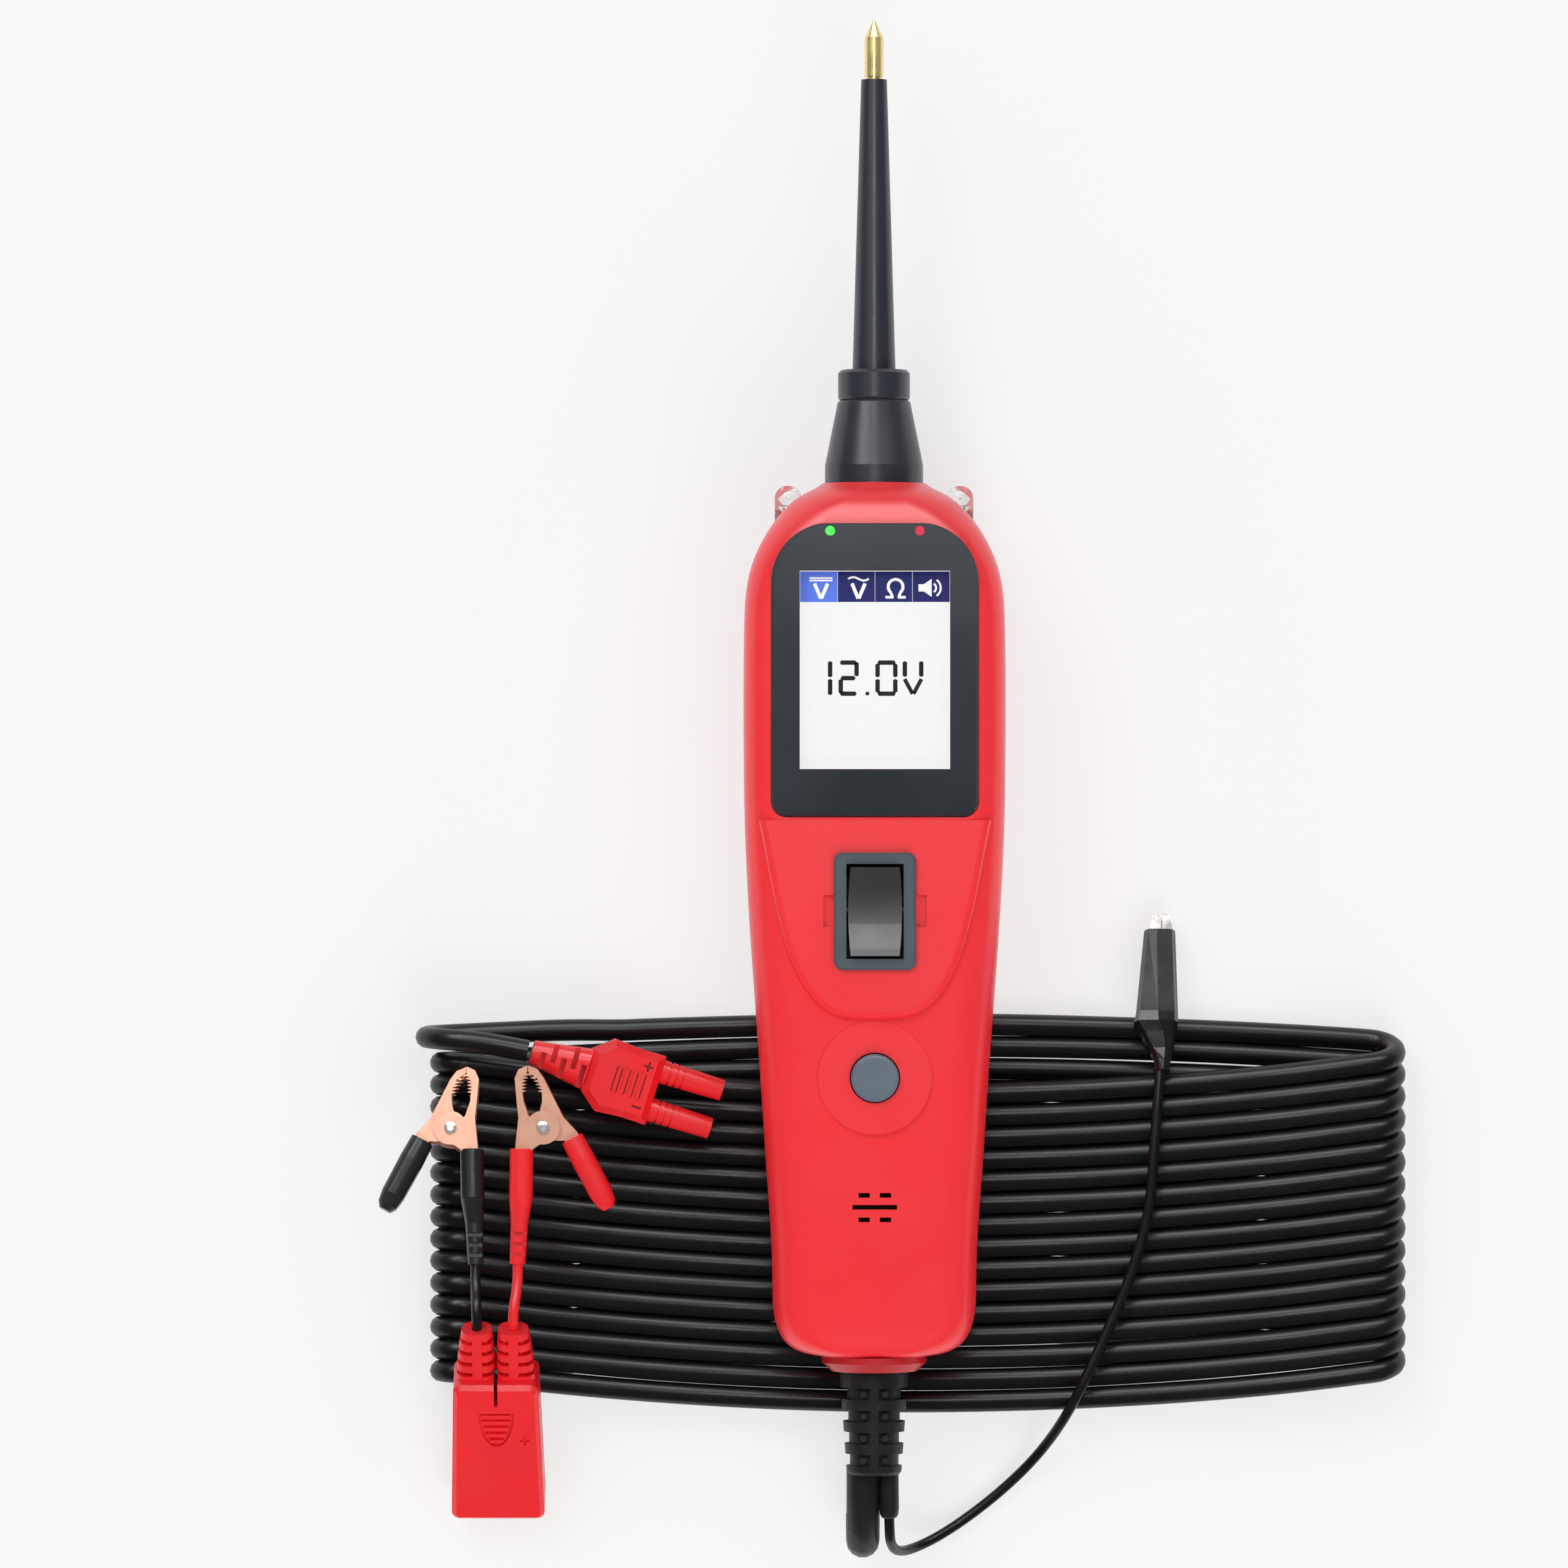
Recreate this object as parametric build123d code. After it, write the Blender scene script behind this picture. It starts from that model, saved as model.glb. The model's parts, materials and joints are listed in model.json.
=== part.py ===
from build123d import *
import os
from math import asin, cos, radians, sin, tan

# Circuit test light with a coiled supply lead, a ground lead and a battery clip adapter.
# Millimetres, +Z up. The tester lies on its back on z = 0, its tip towards +Y.
# x = 0 is the middle plane of the tester, and y = 0 lies halfway from its tip to the end of its boot.

# ---- driving dimensions: tester housing
AXIS_Z = 20.0          # height of the axis of tip, nose cone, ring and boot
PART_Z = 20.0          # the plane where the two shells meet
WALL = 2.4             # shell wall
FACE_Z = 37.0          # flat front of the head and tongue
FIT = 0.05             # clearance of a part in its seat, on each side
# y, half width, back z, front z, edge radius: the stations that the housing passes through
HOUSING = [
    (48.7, 9.6, 10.6, 29.4, 9.2), (47.4, 11.6, 8.4, 31.2, 9.4), (45.6, 14.6, 5.6, 33.4, 9.6),
    (42.6, 17.6, 3.0, 35.2, 9.4), (38.4, 20.4, 0.9, 36.4, 8.6), (32.4, 22.9, 0.1, 36.9, 7.8),
    (22.0, 24.0, -0.2, FACE_Z, 7.0), (2.0, 24.1, -0.2, FACE_Z, 7.0), (-14.0, 23.9, -0.2, 36.8, 7.0),
    (-26.0, 23.4, 0.6, 36.2, 7.4), (-36.0, 22.8, 4.4, 35.7, 7.6), (-46.0, 22.1, 8.6, 35.3, 7.8),
    (-58.0, 21.2, 9.6, 34.8, 7.8), (-78.0, 19.9, 9.6, 33.8, 7.6), (-98.0, 18.8, 9.6, 32.6, 7.4),
    (-106.4, 18.1, 9.8, 31.9, 7.4), (-109.8, 16.4, 10.4, 31.0, 7.6), (-111.8, 13.2, 11.2, 29.8, 8.0),
    (-112.5, 9.9, 12.2, 28.6, 7.8),
]
END_ROWS = 2           # stations at each end that only shape the outside
NOSE_INNER = HOUSING[END_ROWS][0]        # inner faces of the two end walls
TAIL_INNER = HOUSING[-END_ROWS - 1][0]
TONGUE_EDGE = 1.4      # rounding of the tongue's rim
TONGUE = [(21.3, -13.5), (19.2, -24.8), (17.0, -34.6), (14.2, -42.2), (8.0, -49.0), (0.0, -50.1)]

# ---- screen
BEZEL_TOP, BEZEL_BOTTOM, BEZEL_HALF = 40.9, -12.8, 18.9
BEZEL_ARCH, BEZEL_CORNER, BEZEL_THICK = 10.6, 2.8, 1.2
SCREEN_TOP, SCREEN_BOTTOM, SCREEN_HALF = 32.2, -4.1, 13.75
DISPLAY_HALF, DISPLAY_TOP, DISPLAY_BOTTOM, DISPLAY_THICK = 17.0, 36.0, -8.0, 2.6
SCREEN_AIR = 0.3       # air between the display and its window
INDICATOR_X, INDICATOR_Y, INDICATOR_R = 8.2, 39.5, 0.85

# ---- board and what stands on it
BOARD_Z, BOARD_THICK = 18.0, 1.6
SCREW_SPOTS = [(0.0, 41.0, 8.0), (16.5, -13.5, 8.0), (-16.5, -13.5, 8.0),
               (13.3, -68.0, 12.6), (-13.3, -68.0, 12.6), (11.5, -101.0, 12.6), (-11.5, -101.0, 12.6)]
SCREW_R, SCREW_HEAD_R, SCREW_HEAD_H, SCREW_LENGTH = 1.25, 2.4, 1.8, 15.0
BOSS_R = 3.1
BOARD_POSTS = [(14.0, 27.0), (-14.0, 27.0), (10.0, -38.0), (-10.0, -38.0), (0.0, -76.0), (0.0, -97.0)]
SPEAKER_Y, SPEAKER_R, SPEAKER_TOP, SPEAKER_THICK = -84.5, 9.0, 30.2, 2.6

# ---- rocker and mode button
ROCKER_Y, ROCKER_HALF_X, ROCKER_HALF_Y = -30.15, 7.5, 10.75
ROCKER_FLANGE, ROCKER_BODY_X, ROCKER_BODY_Y, ROCKER_BODY_LOW = 1.2, 6.6, 9.7, 24.0
PADDLE_HALF_X, PADDLE_HALF_Y, PADDLE_TOP, PADDLE_SAG = 4.9, 8.1, 40.0, 1.3
PADDLE_PIVOT_Z, PADDLE_PIN_R, PADDLE_GAP = 33.0, 1.0, 0.6
BUTTON_Y, BUTTON_R, BUTTON_TOP, BUTTON_TRAVEL = -60.7, 4.4, 36.6, 0.8
PAD_R, PAD_Z = 10.4, 35.2
SWITCH_TOP, SWITCH_HALF = 24.6, 3.0

# ---- nose, tip and lamps
NOSE_END, NOSE_BASE, NOSE_BELT = 64.2, 48.7, 52.0
NOSE_END_R, NOSE_BELT_R, SPIGOT_R, FLANGE_R, FLANGE_THICK = 6.75, 9.1, 7.0, 8.2, 1.5
COLLAR_LENGTH, COLLAR_R, COLLAR_CHAMFER = 5.5, 6.66, 0.6
SLEEVE_END, SLEEVE_R, SLEEVE_END_R = 123.4, 4.0, 2.4
TIP_R, TIP_END, TIP_CONE, PLUG_R, PLUG_LENGTH = 1.76, 134.5, 3.3, 2.0, 11.0
CORE_R, NECK = 1.5, 0.6           # the rod inside the sleeve, and its bare neck before the tip
SOCKET_R = 3.0
LAMP_X, LAMP_R, LAMP_FLANGE_R, LAMP_TOP, LAMP_REAR = 15.9, 2.5, 2.9, 48.4, 38.2

# ---- tail
TAIL_END = -112.5
RING_R, RING_END_R, RING_LENGTH = 9.7, 8.0, 2.8
BOOT_R, BOOT_END_R, BOOT_END = 6.4, 5.1, -134.5
BOOT_SPIGOT_R, BOOT_FLANGE_R = 5.4, 7.0
RIB_PITCH, RIB_SLOT, RIB_COUNT, SPINE = 4.1, 2.2, 4, 1.5

# ---- leads
CABLE_D, SUPPLY_X = 4.1, -2.0
SLEEVE_D, LEAD_D, LEAD_X, LEAD_SLEEVE_D = 6.0, 1.9, 2.7, 3.2
COIL_LEFT, COIL_RIGHT, COIL_LOW, COIL_HIGH = -82.7, 99.3, 8.6, 13.1
PLUG_AT, PLUG_TURN, PLUG_DIP = (-63.4, -56.5, 16.5), -17.5, -5.0
PLUG_HEAD_THICK, PRONG_R, PRONG_PITCH, PRONG_END = 7.6, 2.15, 7.4, 35.9

# ---- battery clip adapter and ground clip
BLOCK_AT, BLOCK_TILT, BLOCK_LENGTH, BLOCK_THICK = (-69.9, -141.8, 3.98), 32.0, 30.6, 9.0
BLOCK_HALF, BLOCK_END_HALF, BLOCK_BOOT_X, BLOCK_BOOT_LENGTH = 7.85, 8.7, 3.35, 10.2
BLACK_CLIP_AT, RED_CLIP_AT = (-78.3, -70.9, 18.4), (-61.05, -70.2, 24.0)
BLACK_CLIP_PITCH, RED_CLIP_PITCH = -9.5, -1.5     # the black jaws hang, the red lie over the plug
CLIP_WIDTH, CLIP_METAL, CLIP_GAP, EAR_R, RIVET_R = 6.4, 0.6, 0.12, 3.1, 0.8
WIRE_D = 1.9
GROUND_AT, GROUND_PITCH = (53.8, -43.6, 6.0), -17.0
GROUND_WIDTH, GROUND_EAR_R, GROUND_SPLAY = 4.4, 1.9, 2.6


def save(name, *pieces):
    shape = pieces[0] if len(pieces) == 1 else Compound(children=list(pieces))
    export_step(shape, f"parts/{name}.step")


def block(x0, x1, y0, y1, z0, z1):
    return Pos((x0 + x1) / 2, (y0 + y1) / 2, (z0 + z1) / 2) * Box(x1 - x0, y1 - y0, z1 - z0)


def post(x, y, z0, z1, radius):
    return Pos(x, y, (z0 + z1) / 2) * Cylinder(radius, z1 - z0)


def turned(profile):
    """Revolve (radius, y) points about the tester's axis."""
    outline = Polyline(*profile, close=True)
    return Pos(0, 0, AXIS_Z) * revolve(make_face(outline), Axis.Y)


def rod(x, y0, y1, radius, z=AXIS_Z):
    return Pos(x, (y0 + y1) / 2, z) * Rot(90, 0, 0) * Cylinder(radius, y1 - y0)


def bend_radii(points):
    """The largest arcs that the runs leave room for, one for each corner."""
    radii = []
    for before, corner, after in zip(points, points[1:], points[2:]):
        arriving, leaving = Vector(*corner) - Vector(*before), Vector(*after) - Vector(*corner)
        shorter = min(arriving.length, leaving.length)
        radii.append(0.45 * shorter / tan(radians(arriving.get_angle(leaving) / 2)))
    return radii


def tube(points, diameter, bore=0.0, radii=None):
    radii = radii or bend_radii(points)
    route = FilletPolyline(*points, radius=radii)
    start = Plane(origin=route @ 0, z_dir=route % 0)
    section = Circle(diameter / 2)
    if bore:
        section = section - Circle(bore / 2)
    print("bends", [round(r, 1) for r in radii], "length", round(route.length, 1))
    return sweep(start * section, route)


def section(y, half_width, back, front, edge, inset):
    plane = Plane(origin=(0, y, (back + front) / 2), x_dir=(1, 0, 0), z_dir=(0, -1, 0))
    return plane * RectangleRounded(2 * (half_width - inset), front - back - 2 * inset, edge - inset)


def housing_block():
    """The outside of both shells, cut flat at z = 0 for the pad that it rests on."""
    return loft([section(*row, 0) for row in HOUSING]) & block(-60, 60, -150, 150, 0, 60)


def housing_cavity():
    return loft([section(*row, WALL) for row in HOUSING[END_ROWS:-END_ROWS]])


def tongue():
    """The raised U that carries the rocker, widening into the head."""
    right = [(x, y) for x, y in TONGUE]
    left = [(-x, y) for x, y in reversed(TONGUE[:-1])]
    rim = Spline(*(right + left))
    plan = make_face(rim + Line(left[-1], right[0]))
    raised = Pos(0, 0, PART_Z + 4) * extrude(plan, FACE_Z - PART_Z - 4)
    top = raised.edges().group_by(Axis.Z)[-1].filter_by(GeomType.BSPLINE)
    return fillet(top, TONGUE_EDGE)


def bezel_outline(grow=0.0):
    """Bulged sides, a wide arch at the top corners and small ones below."""
    half, top, bottom = BEZEL_HALF + grow, BEZEL_TOP + grow, BEZEL_BOTTOM - grow
    square = Polyline((half, bottom), (half, top), (-half, top), (-half, bottom), close=True)
    plate = make_face(square)
    plate = fillet(plate.vertices().group_by(Axis.Y)[-1], BEZEL_ARCH + grow)
    return fillet(plate.vertices().group_by(Axis.Y)[0], BEZEL_CORNER + grow)


def sound_slots():
    """Two short dashes, one long bar and two short dashes."""
    cuts = [block(-4.1, 4.1, -84.95, -84.05, PART_Z, FACE_Z)]
    for y in (-82.3, -86.8):
        for x in (-1.95, 1.95):
            cuts.append(block(x - 1.05, x + 1.05, y - 0.45, y + 0.45, PART_Z, FACE_Z))
    return cuts


def axial_openings():
    """What both shells leave open round the nose, the boot and the two lamps."""
    holes = [rod(0, NOSE_INNER - 1, NOSE_BASE + 1, SPIGOT_R + FIT),
             rod(0, TAIL_END - 1, TAIL_INNER + 1, BOOT_SPIGOT_R + FIT)]
    for side in (-1, 1):
        holes.append(rod(side * LAMP_X, LAMP_REAR - 6, LAMP_TOP + 3, LAMP_R + FIT))
        holes.append(rod(side * LAMP_X, LAMP_REAR - 6, LAMP_REAR + 1 + FIT, LAMP_FLANGE_R + FIT))
    return holes


def front_shell(outer, cavity):
    shell = (outer + tongue()) - cavity
    shell += post(0, BUTTON_Y, 30, PAD_Z, PAD_R) - cavity
    for x, y, seat in SCREW_SPOTS:
        shell += post(x, y, PART_Z, 34, BOSS_R) & outer
    ring_y, ring_low = SPEAKER_Y, SPEAKER_TOP
    shell += (post(0, ring_y, ring_low, 33.2, SPEAKER_R) - post(0, ring_y, ring_low, 33.2, SPEAKER_R - 1.4)) & outer
    shell -= block(-60, 60, -150, 150, -10, PART_Z)
    shell -= Pos(0, 0, FACE_Z - BEZEL_THICK) * extrude(bezel_outline(FIT + 0.15), 5)
    shell -= block(-SCREEN_HALF, SCREEN_HALF, SCREEN_BOTTOM, SCREEN_TOP, 30, 40)
    shell -= block(-DISPLAY_HALF - FIT, DISPLAY_HALF + FIT, DISPLAY_BOTTOM - FIT, DISPLAY_TOP + FIT,
                   PART_Z, FACE_Z - WALL)
    for side in (-1, 1):
        shell -= post(side * INDICATOR_X, INDICATOR_Y, PART_Z, 40, INDICATOR_R + FIT)
        notch = side * (ROCKER_HALF_X + 1.0)
        shell -= block(notch - 0.95, notch + 0.95, ROCKER_Y - 2.95, ROCKER_Y + 2.95, FACE_Z - 1, 40)
    hole_x, hole_y = ROCKER_BODY_X + FIT, ROCKER_BODY_Y + FIT
    shell -= block(-hole_x, hole_x, ROCKER_Y - hole_y, ROCKER_Y + hole_y, PART_Z, 40)
    shell -= post(0, BUTTON_Y, PART_Z, 40, BUTTON_R + 0.25)
    shell -= sound_slots()
    shell -= axial_openings()
    for x, y, seat in SCREW_SPOTS:
        shell -= post(x, y, PART_Z - 1, seat + SCREW_LENGTH + 0.5, SCREW_R)
    return shell


def back_shell(outer, cavity):
    shell = outer - cavity
    for x, y, seat in SCREW_SPOTS:
        shell += post(x, y, 1, PART_Z, BOSS_R) & outer
    for x, y in BOARD_POSTS:
        shell += post(x, y, 1, BOARD_Z, 2.0) & outer
    shell -= block(-60, 60, -150, 150, PART_Z, 60)
    shell -= axial_openings()
    for x, y, seat in SCREW_SPOTS:
        shell -= post(x, y, -1, seat, SCREW_HEAD_R + 0.3)
        shell -= post(x, y, seat - 1, PART_Z + 1, SCREW_R + 0.2)
    return shell


def screen_bezel():
    plate = extrude(bezel_outline(), BEZEL_THICK)
    plate = chamfer(plate.faces().sort_by(Axis.Z)[-1].outer_wire().edges(), 0.3)
    plate = Pos(0, 0, FACE_Z - BEZEL_THICK + 0.15) * plate
    plate -= block(-SCREEN_HALF, SCREEN_HALF, SCREEN_BOTTOM, SCREEN_TOP, 30, 40)
    for side in (-1, 1):
        plate -= post(side * INDICATOR_X, INDICATOR_Y, 30, 40, INDICATOR_R + FIT)
    return plate


def display_parts():
    """The clear window, the display under it and the frame that stands it on the board."""
    display_top = FACE_Z - WALL
    window = block(-SCREEN_HALF + FIT, SCREEN_HALF - FIT, SCREEN_BOTTOM + FIT, SCREEN_TOP - FIT,
                   display_top + SCREEN_AIR, FACE_Z)
    display = block(-DISPLAY_HALF, DISPLAY_HALF, DISPLAY_BOTTOM, DISPLAY_TOP,
                    display_top - DISPLAY_THICK, display_top)
    low = BOARD_Z + BOARD_THICK
    frame = block(-DISPLAY_HALF, DISPLAY_HALF, DISPLAY_BOTTOM, DISPLAY_TOP, low, display_top - DISPLAY_THICK)
    frame -= block(-DISPLAY_HALF + 2, DISPLAY_HALF - 2, DISPLAY_BOTTOM + 2, DISPLAY_TOP - 2, low, 40)
    return window, display, frame


def main_board():
    right = [(10.9, 41.1), (12.6, LAMP_REAR - 0.2), (17.2, LAMP_REAR - 0.2), (18.5, 33.0), (18.5, -42.0),
             (9.6, -50.0), (9.6, -103.0)]
    outline = Polyline(*right, *[(-x, y) for x, y in reversed(right)], close=True)
    board = Pos(0, 0, BOARD_Z) * extrude(make_face(outline), BOARD_THICK)
    for x, y, seat in SCREW_SPOTS:
        board -= post(x, y, 10, 30, BOSS_R + 0.4)
    return board


def rocker_frame():
    """Snap-in frame: a rounded flange on the tongue and an open box below it."""
    flange = extrude(RectangleRounded(2 * ROCKER_HALF_X, 2 * ROCKER_HALF_Y, 1.6), ROCKER_FLANGE)
    flange = chamfer(flange.edges().group_by(Axis.Z)[-1], 0.4)
    frame = Pos(0, ROCKER_Y, FACE_Z) * flange
    frame += block(-ROCKER_BODY_X, ROCKER_BODY_X, ROCKER_Y - ROCKER_BODY_Y, ROCKER_Y + ROCKER_BODY_Y,
                   ROCKER_BODY_LOW, FACE_Z)
    open_x, open_y = PADDLE_HALF_X + 0.35, PADDLE_HALF_Y + PADDLE_GAP
    frame -= block(-open_x, open_x, ROCKER_Y - open_y, ROCKER_Y + open_y, ROCKER_BODY_LOW + 1.4, 45)
    pivot = Pos(0, ROCKER_Y, PADDLE_PIVOT_Z) * Rot(0, 90, 0)
    return frame - pivot * Cylinder(PADDLE_PIN_R + FIT, 2 * (ROCKER_BODY_X - 0.4))


def rocker_paddle():
    """Saddle-topped paddle with a round belly about its pivot pins."""
    half, low = PADDLE_HALF_Y, PADDLE_PIVOT_Z - 3.5
    side = Plane.YZ * Pos(ROCKER_Y, 0)
    saddle = ThreePointArc((half, PADDLE_TOP), (0, PADDLE_TOP - PADDLE_SAG), (-half, PADDLE_TOP))
    belly = ThreePointArc((-half, PADDLE_PIVOT_Z), (0, low), (half, PADDLE_PIVOT_Z))
    profile = make_face(saddle + belly + Line((-half, PADDLE_TOP), (-half, PADDLE_PIVOT_Z))
                        + Line((half, PADDLE_PIVOT_Z), (half, PADDLE_TOP)))
    body = extrude(side * profile, PADDLE_HALF_X, both=True)
    waist = PADDLE_HALF_X - 0.45
    barrel = make_face(ThreePointArc((waist, -half), (PADDLE_HALF_X, 0), (waist, half))
                       + ThreePointArc((-waist, half), (-PADDLE_HALF_X, 0), (-waist, -half))
                       + Line((waist, half), (-waist, half)) + Line((-waist, -half), (waist, -half)))
    body &= Pos(0, ROCKER_Y, 20) * extrude(barrel, 30)
    pin = Pos(0, ROCKER_Y, PADDLE_PIVOT_Z) * Rot(0, 90, 0) * Cylinder(PADDLE_PIN_R, 2 * (ROCKER_BODY_X - 0.6))
    return body + pin


def rocker_terminals():
    low, high = BOARD_Z + BOARD_THICK, ROCKER_BODY_LOW
    return [block(-2.4, 2.4, y - 0.4, y + 0.4, low, high) for y in (ROCKER_Y - 7, ROCKER_Y, ROCKER_Y + 7)]


def mode_button():
    """Domed cap, a flange that keeps it in, and a stem that enters the switch."""
    flange_top = PAD_Z - 1.9 - WALL
    cap = post(0, BUTTON_Y, flange_top, BUTTON_TOP, BUTTON_R)
    cap = fillet(cap.edges().sort_by(Axis.Z)[-1], 0.7)
    flange = post(0, BUTTON_Y, flange_top - 1, flange_top, BUTTON_R + 1)
    stem = post(0, BUTTON_Y, SWITCH_TOP - 0.5, flange_top, 1.75)
    return cap + flange + stem


def button_switch():
    low = BOARD_Z + BOARD_THICK
    body = block(-SWITCH_HALF, SWITCH_HALF, BUTTON_Y - SWITCH_HALF, BUTTON_Y + SWITCH_HALF, low, SWITCH_TOP)
    return body - post(0, BUTTON_Y, SWITCH_TOP - 0.5 - BUTTON_TRAVEL - 0.4, SWITCH_TOP + 1, 1.75 + FIT)


def speaker():
    disc = post(0, SPEAKER_Y, SPEAKER_TOP - SPEAKER_THICK, SPEAKER_TOP, SPEAKER_R)
    return disc - post(0, SPEAKER_Y, SPEAKER_TOP - 0.6, SPEAKER_TOP + 1, SPEAKER_R - 2.5)


def circuit_breaker():
    low = BOARD_Z + BOARD_THICK
    return block(-6, 6, -101.5, -86, low, 26) + block(-4, 4, -98, -89, 26, 27)


def nose_cone():
    rear = NOSE_INNER - FLANGE_THICK
    profile = [(SOCKET_R + FIT, rear), (FLANGE_R, rear), (FLANGE_R, NOSE_INNER), (SPIGOT_R, NOSE_INNER), (SPIGOT_R, NOSE_BASE), (NOSE_BELT_R, NOSE_BASE),
               (NOSE_BELT_R, NOSE_BELT), (NOSE_END_R, NOSE_END - 0.5), (NOSE_END_R - 0.5, NOSE_END),
               (PLUG_R + 0.2, NOSE_END), (PLUG_R + 0.2, NOSE_END - 2), (SOCKET_R + FIT, NOSE_END - 2)]
    return turned(profile)


def tip_socket():
    front, rear = NOSE_END - 2, NOSE_INNER - FLANGE_THICK
    bottom = NOSE_END - PLUG_LENGTH - 1
    return turned([(0, rear), (SOCKET_R, rear), (SOCKET_R, front), (PLUG_R + FIT, front),
                   (PLUG_R + FIT, bottom), (0, bottom)])


def probe_sleeve():
    """Grip collar and the long taper that insulates the tip."""
    collar = NOSE_END + COLLAR_LENGTH
    bore = CORE_R + 0.02
    return turned([(bore, NOSE_END), (COLLAR_R - 0.2, NOSE_END), (COLLAR_R, NOSE_END + 0.4),
                   (COLLAR_R, collar - COLLAR_CHAMFER), (COLLAR_R - COLLAR_CHAMFER, collar),
                   (SLEEVE_R, collar), (SLEEVE_END_R, SLEEVE_END), (bore, SLEEVE_END)])


def probe_tip():
    rear = NOSE_END - PLUG_LENGTH
    return turned([(0, rear), (PLUG_R - 0.5, rear), (PLUG_R, rear + 0.8), (PLUG_R, NOSE_END),
                   (CORE_R, NOSE_END), (CORE_R, SLEEVE_END + NECK), (TIP_R, SLEEVE_END + NECK),
                   (TIP_R, TIP_END - TIP_CONE), (0.25, TIP_END - 0.2), (0, TIP_END)])


def flashlight_led(side):
    x = side * LAMP_X
    dome = Pos(x, LAMP_TOP - LAMP_R, AXIS_Z) * Sphere(LAMP_R)
    lamp = dome + rod(x, LAMP_REAR, LAMP_TOP - LAMP_R, LAMP_R) + rod(x, LAMP_REAR, LAMP_REAR + 1, LAMP_FLANGE_R)
    low = BOARD_Z + BOARD_THICK
    for offset in (-0.9, 0.9):
        lamp += block(x + offset - 0.25, x + offset + 0.25, DISPLAY_TOP + 0.2, LAMP_REAR + 0.2, low, low + 0.5)
    return lamp


def indicator(side):
    x, low = side * INDICATOR_X, BOARD_Z + BOARD_THICK
    pipe = post(x, INDICATOR_Y, low, FACE_Z + 0.35, INDICATOR_R)
    return pipe + post(x, INDICATOR_Y, low, low + 2, INDICATOR_R + 0.6)


def case_screws():
    screws = []
    for x, y, seat in SCREW_SPOTS:
        head = post(x, y, seat - SCREW_HEAD_H, seat, SCREW_HEAD_R)
        head -= post(x, y, seat - SCREW_HEAD_H - 1, seat - 0.8, 0.9)
        screws.append(head + post(x, y, seat, seat + SCREW_LENGTH, SCREW_R))
    return screws


def tail_ring():
    return turned([(BOOT_SPIGOT_R + FIT, TAIL_END), (RING_R, TAIL_END), (RING_R, TAIL_END - 1.2),
                   (RING_END_R, TAIL_END - RING_LENGTH), (BOOT_SPIGOT_R + FIT, TAIL_END - RING_LENGTH)])


def strain_relief():
    """Tapered boot with open ribs either side of a spine, front and back."""
    root, inner = TAIL_END - RING_LENGTH, TAIL_INNER
    boot = turned([(0, BOOT_END), (BOOT_END_R - 0.5, BOOT_END), (BOOT_END_R, BOOT_END + 0.6),
                   (BOOT_R, root), (BOOT_SPIGOT_R, root), (BOOT_SPIGOT_R, inner), (BOOT_FLANGE_R, inner),
                   (BOOT_FLANGE_R, inner + 1.6), (0, inner + 1.6)])
    for index in range(RIB_COUNT):
        y = root - RIB_PITCH * (index + 1)
        outer_r = BOOT_R + 1
        core_r = 4.95 - 0.16 * index
        ring = rod(0, y - RIB_SLOT / 2, y + RIB_SLOT / 2, outer_r) - rod(0, y - RIB_SLOT, y + RIB_SLOT, core_r)
        ring -= block(-SPINE / 2, SPINE / 2, y - RIB_SLOT, y + RIB_SLOT, 0, 40)
        boot -= ring
        for side in (-1, 1):
            knob = post(side * 2.0, y, AXIS_Z + 2, AXIS_Z + core_r + 0.35, 0.6)
            boot += knob
    boot -= rod(SUPPLY_X, BOOT_END - 1, inner + 3, CABLE_D / 2 + 0.02)
    boot -= rod(LEAD_X, BOOT_END - 1, inner + 3, LEAD_D / 2 + 0.02)
    return boot


SUPPLY_ROUTE = [(SUPPLY_X, -118.0, AXIS_Z), (SUPPLY_X, -147.6, AXIS_Z), (SUPPLY_X, -147.6, 3.0),
                (SUPPLY_X, -124.6, 3.0)]
SLEEVE_ROUTE = [(SUPPLY_X, BOOT_END, AXIS_Z), *SUPPLY_ROUTE[1:3], (SUPPLY_X, -138.0, 3.0)]
LEAD_ROUTE = [(LEAD_X, -126.0, AXIS_Z), (LEAD_X, -144.4, AXIS_Z), (3.4, -149.2, 13.5), (6.8, -150.0, 5.2),
              (14.2, -146.6, 1.4), (23.6, -139.6, 1.1), (31.4, -131.8, 3.0), (37.0, -122.6, 11.4),
              (42.2, -111.4, 11.3), (47.8, -98.6, 11.5), (51.4, -86.0, 12.1), (52.2, -73.0, 12.4),
              (52.9, -62.0, 11.6)]
LEAD_SLEEVE_END = -140.4
LOOP_X, LOOP_Z, LOOP_R = -76.4, 9.0, 6.85     # the free end's upright loop beyond the coil
LOOP_SIDE = LOOP_R * tan(radians(22.5))
END_ROUTE = [(-49.9, -53.0, 2.15), (-57.0, -52.8, 2.15), (-69.0, -53.3, 2.15),
             (LOOP_X - LOOP_SIDE, -53.8, LOOP_Z - LOOP_R), (LOOP_X - LOOP_R, -53.9, LOOP_Z - LOOP_SIDE),
             (LOOP_X - LOOP_R, -54.0, LOOP_Z + LOOP_SIDE), (LOOP_X - LOOP_SIDE, -54.2, LOOP_Z + LOOP_R),
             (-72.5, -54.7, 16.6), (PLUG_AT[0] - 0.5, PLUG_AT[1] + 0.1, PLUG_AT[2])]


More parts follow.
